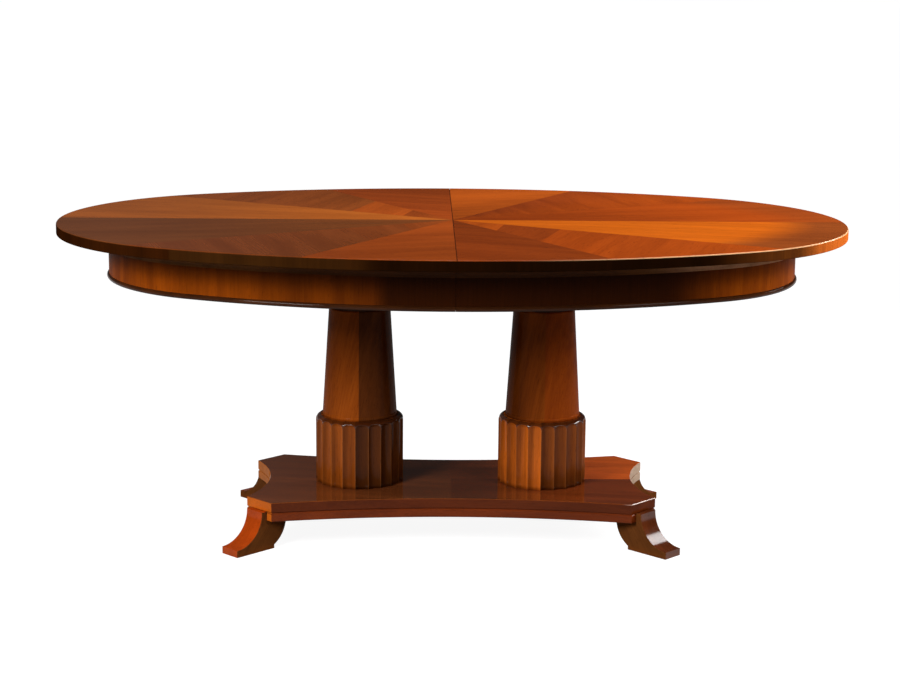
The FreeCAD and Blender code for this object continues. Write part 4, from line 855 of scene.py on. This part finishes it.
# Band tones: the middle is painted shade and the right end painted light.
BAND_TONES_AND_PAINTED_LIGHT = {
    "far_left": ((0.018, 0.0045, 0.0008, 1), (0.034, 0.008, 0.0012, 1)),
    "left": ((0.026, 0.009, 0.002, 1), (0.048, 0.016, 0.003, 1)),
    "middle": ((0.008, 0.0027, 0.0006, 1), (0.014, 0.004, 0.0008, 1)),
    "right": ((0.07, 0.019, 0.004, 1), (0.14, 0.037, 0.006, 1)),
    "lit_right_end": ((0.52, 0.110, 0.014, 1), (0.82, 0.180, 0.024, 1)),
}
BAND_LIMITS = {
    "left": (-0.625, -0.622),
    "middle": (-0.24, -0.16),
    "right": (0.52, 0.74),
    "lit_right_end": (0.76, 0.86),
}
BAND_LAYER = (0.3, (0.032, 0.007, 0.001, 1))
FACE_LEVELS = (TOP_FACE - 0.0022, TOP_FACE - 0.0008)
# Painted highlight on the top's arris along the right front.
ARRIS_HIGHLIGHT_FOOT = (TOP_FACE - 0.0030, TOP_FACE - 0.0022)
ARRIS_HIGHLIGHT_HEAD = (TOP_FACE - 0.0001, TOP_FACE - 0.0006)
ARRIS_HIGHLIGHT_ALONG = (0.10, 0.55)
ARRIS_HIGHLIGHT_ACROSS = (0.12, -0.08)
ARRIS_HIGHLIGHT_LAYER = (0.75, (0.95, 0.55, 0.28, 1))

band_bearing = calc(tree, "ARCTAN2", axes[1], axes[0])
band_length = calc(tree, "FLOOR", times(tree, band_bearing, BAND_LENGTHS))
draw = add(tree, "ShaderNodeTexWhiteNoise", {"noise_dimensions": "1D"}, W=band_length).outputs[0]
bands = woods(tree, figure, fibre, BAND_TONES_AND_PAINTED_LIGHT)
bands["left"] = layered(tree, bands["left"], draw, *BAND_LAYER)
band = bands["far_left"]
# Painted shade in the middle of the band and painted light round its right end.
for part, limits in BAND_LIMITS.items():
    band = tint(tree, between(tree, axes[0], *limits), band, bands[part])
on_face = between(tree, axes[2], *FACE_LEVELS)
outside = tint(tree, on_face, band, veneer)
on_arris = times(tree, between(tree, axes[2], *ARRIS_HIGHLIGHT_FOOT), between(tree, axes[2], *ARRIS_HIGHLIGHT_HEAD))
# Painted highlight on the top's arris along the right front.
arris_highlight = times(tree, on_arris, between(tree, axes[0], *ARRIS_HIGHLIGHT_ALONG))
arris_highlight = times(tree, arris_highlight, between(tree, axes[1], *ARRIS_HIGHLIGHT_ACROSS))
outside = layered(tree, outside, arris_highlight, *ARRIS_HIGHLIGHT_LAYER)
gloss = times(tree, on_face, TOP_GLOSS)
lacquer(tree, outside, fibre, pores, rough=0.3, gloss=gloss, gloss_rough=0.08, bump=0.06)
wear(finish, "top_left", "top_right")


# Locks and seam pins: stamped brass plates, keepers and levers, screwed under the halves beside the
# seam, and turned brass pins that are driven into one half and line it up with the other.
BRASS = (0.72, 0.50, 0.20, 1)

brass = metal("satin_brass", BRASS, 0.34)
for side in ("left", "right"):
    wear(brass, f"seam_pins_{side}", f"lock_plate_{side}", f"lock_keeper_{side}", f"lock_lever_{side}")


# Screws: slotted dome heads that hold the slides, the racks and the locks from below. Each set is of
# one metal and size, driven by hand, so the slots stand at odd angles.
SCREW_SEED = 7
SCREW_SIZES = {
    "lock": {"Head Radius": 0.0034, "Dome": 0.0009, "Slot Width": 0.0008, "Slot Depth": 0.0006},
    "slide": {"Head Radius": 0.0046, "Dome": 0.0016, "Slot Width": 0.0011, "Slot Depth": 0.0010},
}
SLOT_LENGTH = 3.0
SLOT_SINK = 0.45
RIGHT_LOCK_SCREWS = (("lock_plate", 0.0530, -0.3920), ("lock_plate", 0.0115, -0.3680),
                     ("lock_keeper", 0.0520, 0.3680), ("lock_keeper", 0.0520, 0.3920))
RIGHT_SLIDE_SCREWS = (("cleat", 0.175, -0.120), ("cleat", 0.175, 0.020), ("cleat", 0.175, 0.120),
                      ("rack", 0.163, -0.0545), ("rack", 0.187, -0.0545))
BEARER_COLUMNS = (-0.045, 0.045)
BRIDGE_COLUMNS = (-0.026, 0.026)
BASE_ROWS = (-0.190, 0.190)
BASE_SCREWS = [(f"bearer_{side}", middle + aside, across) for side, middle in PEDESTALS.items()
               for aside in BEARER_COLUMNS for across in BASE_ROWS]
BASE_SCREWS += [("gear_bridge", along, across) for along in BRIDGE_COLUMNS for across in BASE_ROWS]
BELOW_SLIDES = 0.3

screw_inputs = {size: "Float" for size in SCREW_SIZES["lock"]}
screw_inputs["Finish"] = "Material"
tree, screw_size = new_tree("slotted_screws", screw_inputs)
radius = screw_size["Head Radius"]
ball = add(tree, "GeometryNodeMeshUVSphere", Segments=20, Rings=10, Radius=1.0).outputs["Mesh"]
dome_scale = add(tree, "ShaderNodeCombineXYZ", X=radius, Y=radius, Z=screw_size["Dome"]).outputs[0]
dome = add(tree, "GeometryNodeTransform", Geometry=ball, Scale=dome_scale).outputs[0]
slot_length = times(tree, radius, SLOT_LENGTH)
slot_size = add(tree, "ShaderNodeCombineXYZ", X=slot_length, Y=screw_size["Slot Width"],
                Z=screw_size["Slot Depth"]).outputs[0]
slot_block = add(tree, "GeometryNodeMeshCube", Size=slot_size).outputs["Mesh"]
slot_level = calc(tree, "SUBTRACT", screw_size["Dome"], times(tree, screw_size["Slot Depth"], SLOT_SINK))
slot_place = add(tree, "ShaderNodeCombineXYZ", Z=slot_level).outputs[0]
slot = add(tree, "GeometryNodeTransform", Geometry=slot_block, Translation=slot_place).outputs[0]
head = add(tree, "GeometryNodeMeshBoolean", {"operation": "DIFFERENCE"}, i0=dome, i1=slot).outputs["Mesh"]
faced = add(tree, "GeometryNodeInputNamedAttribute", {"data_type": "FLOAT_VECTOR"}, Name="facing").outputs[0]
upright = add(tree, "FunctionNodeAlignRotationToVector", {"axis": "Z"}, Vector=faced).outputs[0]
chance = add(tree, "FunctionNodeRandomValue", {"data_type": "FLOAT"}, i2=0.0, i3=math.pi, Seed=SCREW_SEED)
spin = add(tree, "FunctionNodeAxisAngleToRotation", Axis=(0, 0, 1), Angle=chance.outputs[1]).outputs[0]
driven = add(tree, "FunctionNodeRotateRotation", {"rotation_space": "LOCAL"}, i0=upright, i1=spin).outputs[0]
heads = add(tree, "GeometryNodeInstanceOnPoints", Points=screw_size["Geometry"], Instance=head,
            Rotation=driven).outputs[0]
close_tree(tree, heads, screw_size["Finish"])
screw_tree = tree


def drive(name, kind, places, material, body):
    """Screw heads on the undersides of the named pieces, in one mesh that rides on a body."""
    spots = []
    facings = []
    for carrier, x, y in places:
        hit, spot, normal, _ = nodes[carrier].ray_cast(Vector((x, y, BELOW_SLIDES)), Vector((0, 0, 1)))
        if not hit:
            raise RuntimeError(f"{name}: no wood or metal above {x}, {y} on {carrier}")
        spots.append(spot)
        facings.append(normal)
    start = bpy.data.meshes.new(name + "_start")
    start.from_pydata(spots, [], [])
    facing_rows = start.attributes.new("facing", "FLOAT_VECTOR", "POINT")
    for row, normal in zip(facing_rows.data, facings):
        row.vector = normal
    piece = grown(name, screw_tree, start, {**SCREW_SIZES[kind], "Finish": material})
    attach(piece, body)


bpy.context.view_layer.update()
drive("base_screws", "slide", BASE_SCREWS, zinc, "base")
for side, hand in (("right", 1), ("left", -1)):
    slide_places = [(f"{piece}_{side}", hand * x, hand * y) for piece, x, y in RIGHT_SLIDE_SCREWS]
    drive(f"slide_screws_{side}", "slide", slide_places, zinc, f"{side}_half")
    lock_places = [(f"{piece}_{side}", hand * x, hand * y) for piece, x, y in RIGHT_LOCK_SCREWS]
    drive(f"lock_screws_{side}", "lock", lock_places, brass, f"{side}_half")


# Stage: a plain pale floor that runs back to the horizon, and a dim studio above it whose left wall
# is a little paler. The floor glows a little more further off, and is clear when seen from below.
FLOOR_HALF = 40.0
FLOOR_GREY = (0.25, 0.25, 0.25, 1)
FLOOR_GLOW = 0.92
FAR_GLOW = 0.08
FAR_LIMITS = (1.0, 6.0)
WHITE = (1, 1, 1, 1)
DIM_WALL = (0.025, 0.025, 0.025, 1)
LEFT_WALL = (0.09, 0.09, 0.09, 1)
LEFT_WALL_LIMITS = (0.0, -0.18)
HORIZON_LIMITS = (-0.01, 0.02)

floor_mesh = bpy.data.meshes.new("floor")
floor_corners = [(-FLOOR_HALF, -FLOOR_HALF, 0), (FLOOR_HALF, -FLOOR_HALF, 0),
                 (FLOOR_HALF, FLOOR_HALF, 0), (-FLOOR_HALF, FLOOR_HALF, 0)]
floor_mesh.from_pydata(floor_corners, [], [(0, 1, 2, 3)])
floor = bpy.data.objects.new("floor", floor_mesh)
scene.collection.objects.link(floor)
pale, tree, place = new_finish("pale_floor")
matt = add(tree, "ShaderNodeBsdfDiffuse", Color=FLOOR_GREY).outputs[0]
away = add(tree, "ShaderNodeVectorMath", {"operation": "LENGTH"}, i0=place).outputs["Value"]
strength = calc(tree, "ADD", FLOOR_GLOW, times(tree, between(tree, away, *FAR_LIMITS), FAR_GLOW))
glow = add(tree, "ShaderNodeEmission", Color=WHITE, Strength=strength).outputs[0]
rays = add(tree, "ShaderNodeLightPath").outputs
shiny = calc(tree, "MAXIMUM", rays["Is Glossy Ray"], rays["Is Transmission Ray"])
seen = calc(tree, "MAXIMUM", rays["Is Camera Ray"], shiny)
lit = add(tree, "ShaderNodeAddShader", i0=matt, i1=glow).outputs[0]
upper_side = add(tree, "ShaderNodeMixShader", i0=seen, i1=matt, i2=lit).outputs[0]
lower_side = add(tree, "ShaderNodeBsdfTransparent").outputs[0]
from_below = add(tree, "ShaderNodeNewGeometry").outputs["Backfacing"]
both_sides = add(tree, "ShaderNodeMixShader", i0=from_below, i1=upper_side, i2=lower_side).outputs[0]
add(tree, "ShaderNodeOutputMaterial", Surface=both_sides)
floor_mesh.materials.append(pale)

world = bpy.data.worlds.new("studio")
world.use_nodes = True
scene.world = world
tree = world.node_tree
tree.nodes.clear()
aims = parts_of(tree, add(tree, "ShaderNodeTexCoord").outputs["Generated"])
wall = tint(tree, between(tree, aims[0], *LEFT_WALL_LIMITS), DIM_WALL, LEFT_WALL)
studio = tint(tree, between(tree, aims[2], *HORIZON_LIMITS), WHITE, wall)
background = add(tree, "ShaderNodeBackground", Color=studio, Strength=1.0).outputs[0]
add(tree, "ShaderNodeOutputWorld", Surface=background)


# Lamps: soft boxes overhead, on the left, on the right and in front. The right one is left out of
# reflections, and a wide one behind it shows in reflections only, so that the curve of the front right
# foot has one clean highlight.
def softbox(name, place, aim, width, height, power):
    """A soft rectangular studio lamp."""
    lamp = bpy.data.lights.new(name, "AREA")
    lamp.shape = "RECTANGLE"
    lamp.size = width
    lamp.size_y = height
    lamp.energy = power
    holder = bpy.data.objects.new(name, lamp)
    holder.location = place
    holder.rotation_euler = (Vector(aim) - Vector(place)).to_track_quat("-Z", "Y").to_euler()
    scene.collection.objects.link(holder)
    return holder


softbox("overhead_softbox", (0.4, 0.7, 2.9), (0.0, 0, 0.7), width=2.2, height=1.4, power=37)
softbox("left_softbox", (-1.80, -2.18, 1.86), (-0.1, 0, 0.45), width=0.8, height=1.15, power=75)
right_lamp = softbox("right_softbox", (2.70, 0.10, 1.75), (0, 0, 0.40), width=0.6, height=1.7, power=58)
right_lamp.visible_glossy = False
rim_lamp = softbox("rim_softbox", (2.25, 0.85, 1.60), (0.53, -0.36, 0.05), width=1.2, height=0.5, power=28)
rim_lamp.visible_diffuse = False
softbox("front_softbox", (2.05, -1.95, 1.86), (0.1, 0, 0.45), width=0.8, height=1.15, power=26)


# Camera: a short telephoto in front of the table, a little above the top and looking down on it. Its
# place, turns and lens were fitted to the outlines in the photograph.
CAMERA_PLACE = Vector((-0.07822, -4.78394, 1.43961))
YAW, PITCH, ROLL = 0.0155, -0.2055, 0.0087
FOCAL_SHARE = 2003.77 / 900
SENSOR_WIDTH = 36
FARTHEST = 200

forward = Vector((math.sin(YAW) * math.cos(PITCH), math.cos(YAW) * math.cos(PITCH), math.sin(PITCH)))
sideways = Vector((math.cos(YAW), -math.sin(YAW), 0))
upward = sideways.cross(forward)
rolled_right = math.cos(ROLL) * sideways + math.sin(ROLL) * upward
rolled_up = math.cos(ROLL) * upward - math.sin(ROLL) * sideways
lens = bpy.data.cameras.new("camera")
lens.sensor_width = SENSOR_WIDTH
lens.lens = SENSOR_WIDTH * FOCAL_SHARE
lens.clip_end = FARTHEST
camera = bpy.data.objects.new("camera", lens)
turned = Matrix((rolled_right, rolled_up, -forward)).transposed()
camera.matrix_world = Matrix.Translation(CAMERA_PLACE) @ turned.to_4x4()
scene.collection.objects.link(camera)
scene.camera = camera
scene.view_settings.view_transform = "Standard"
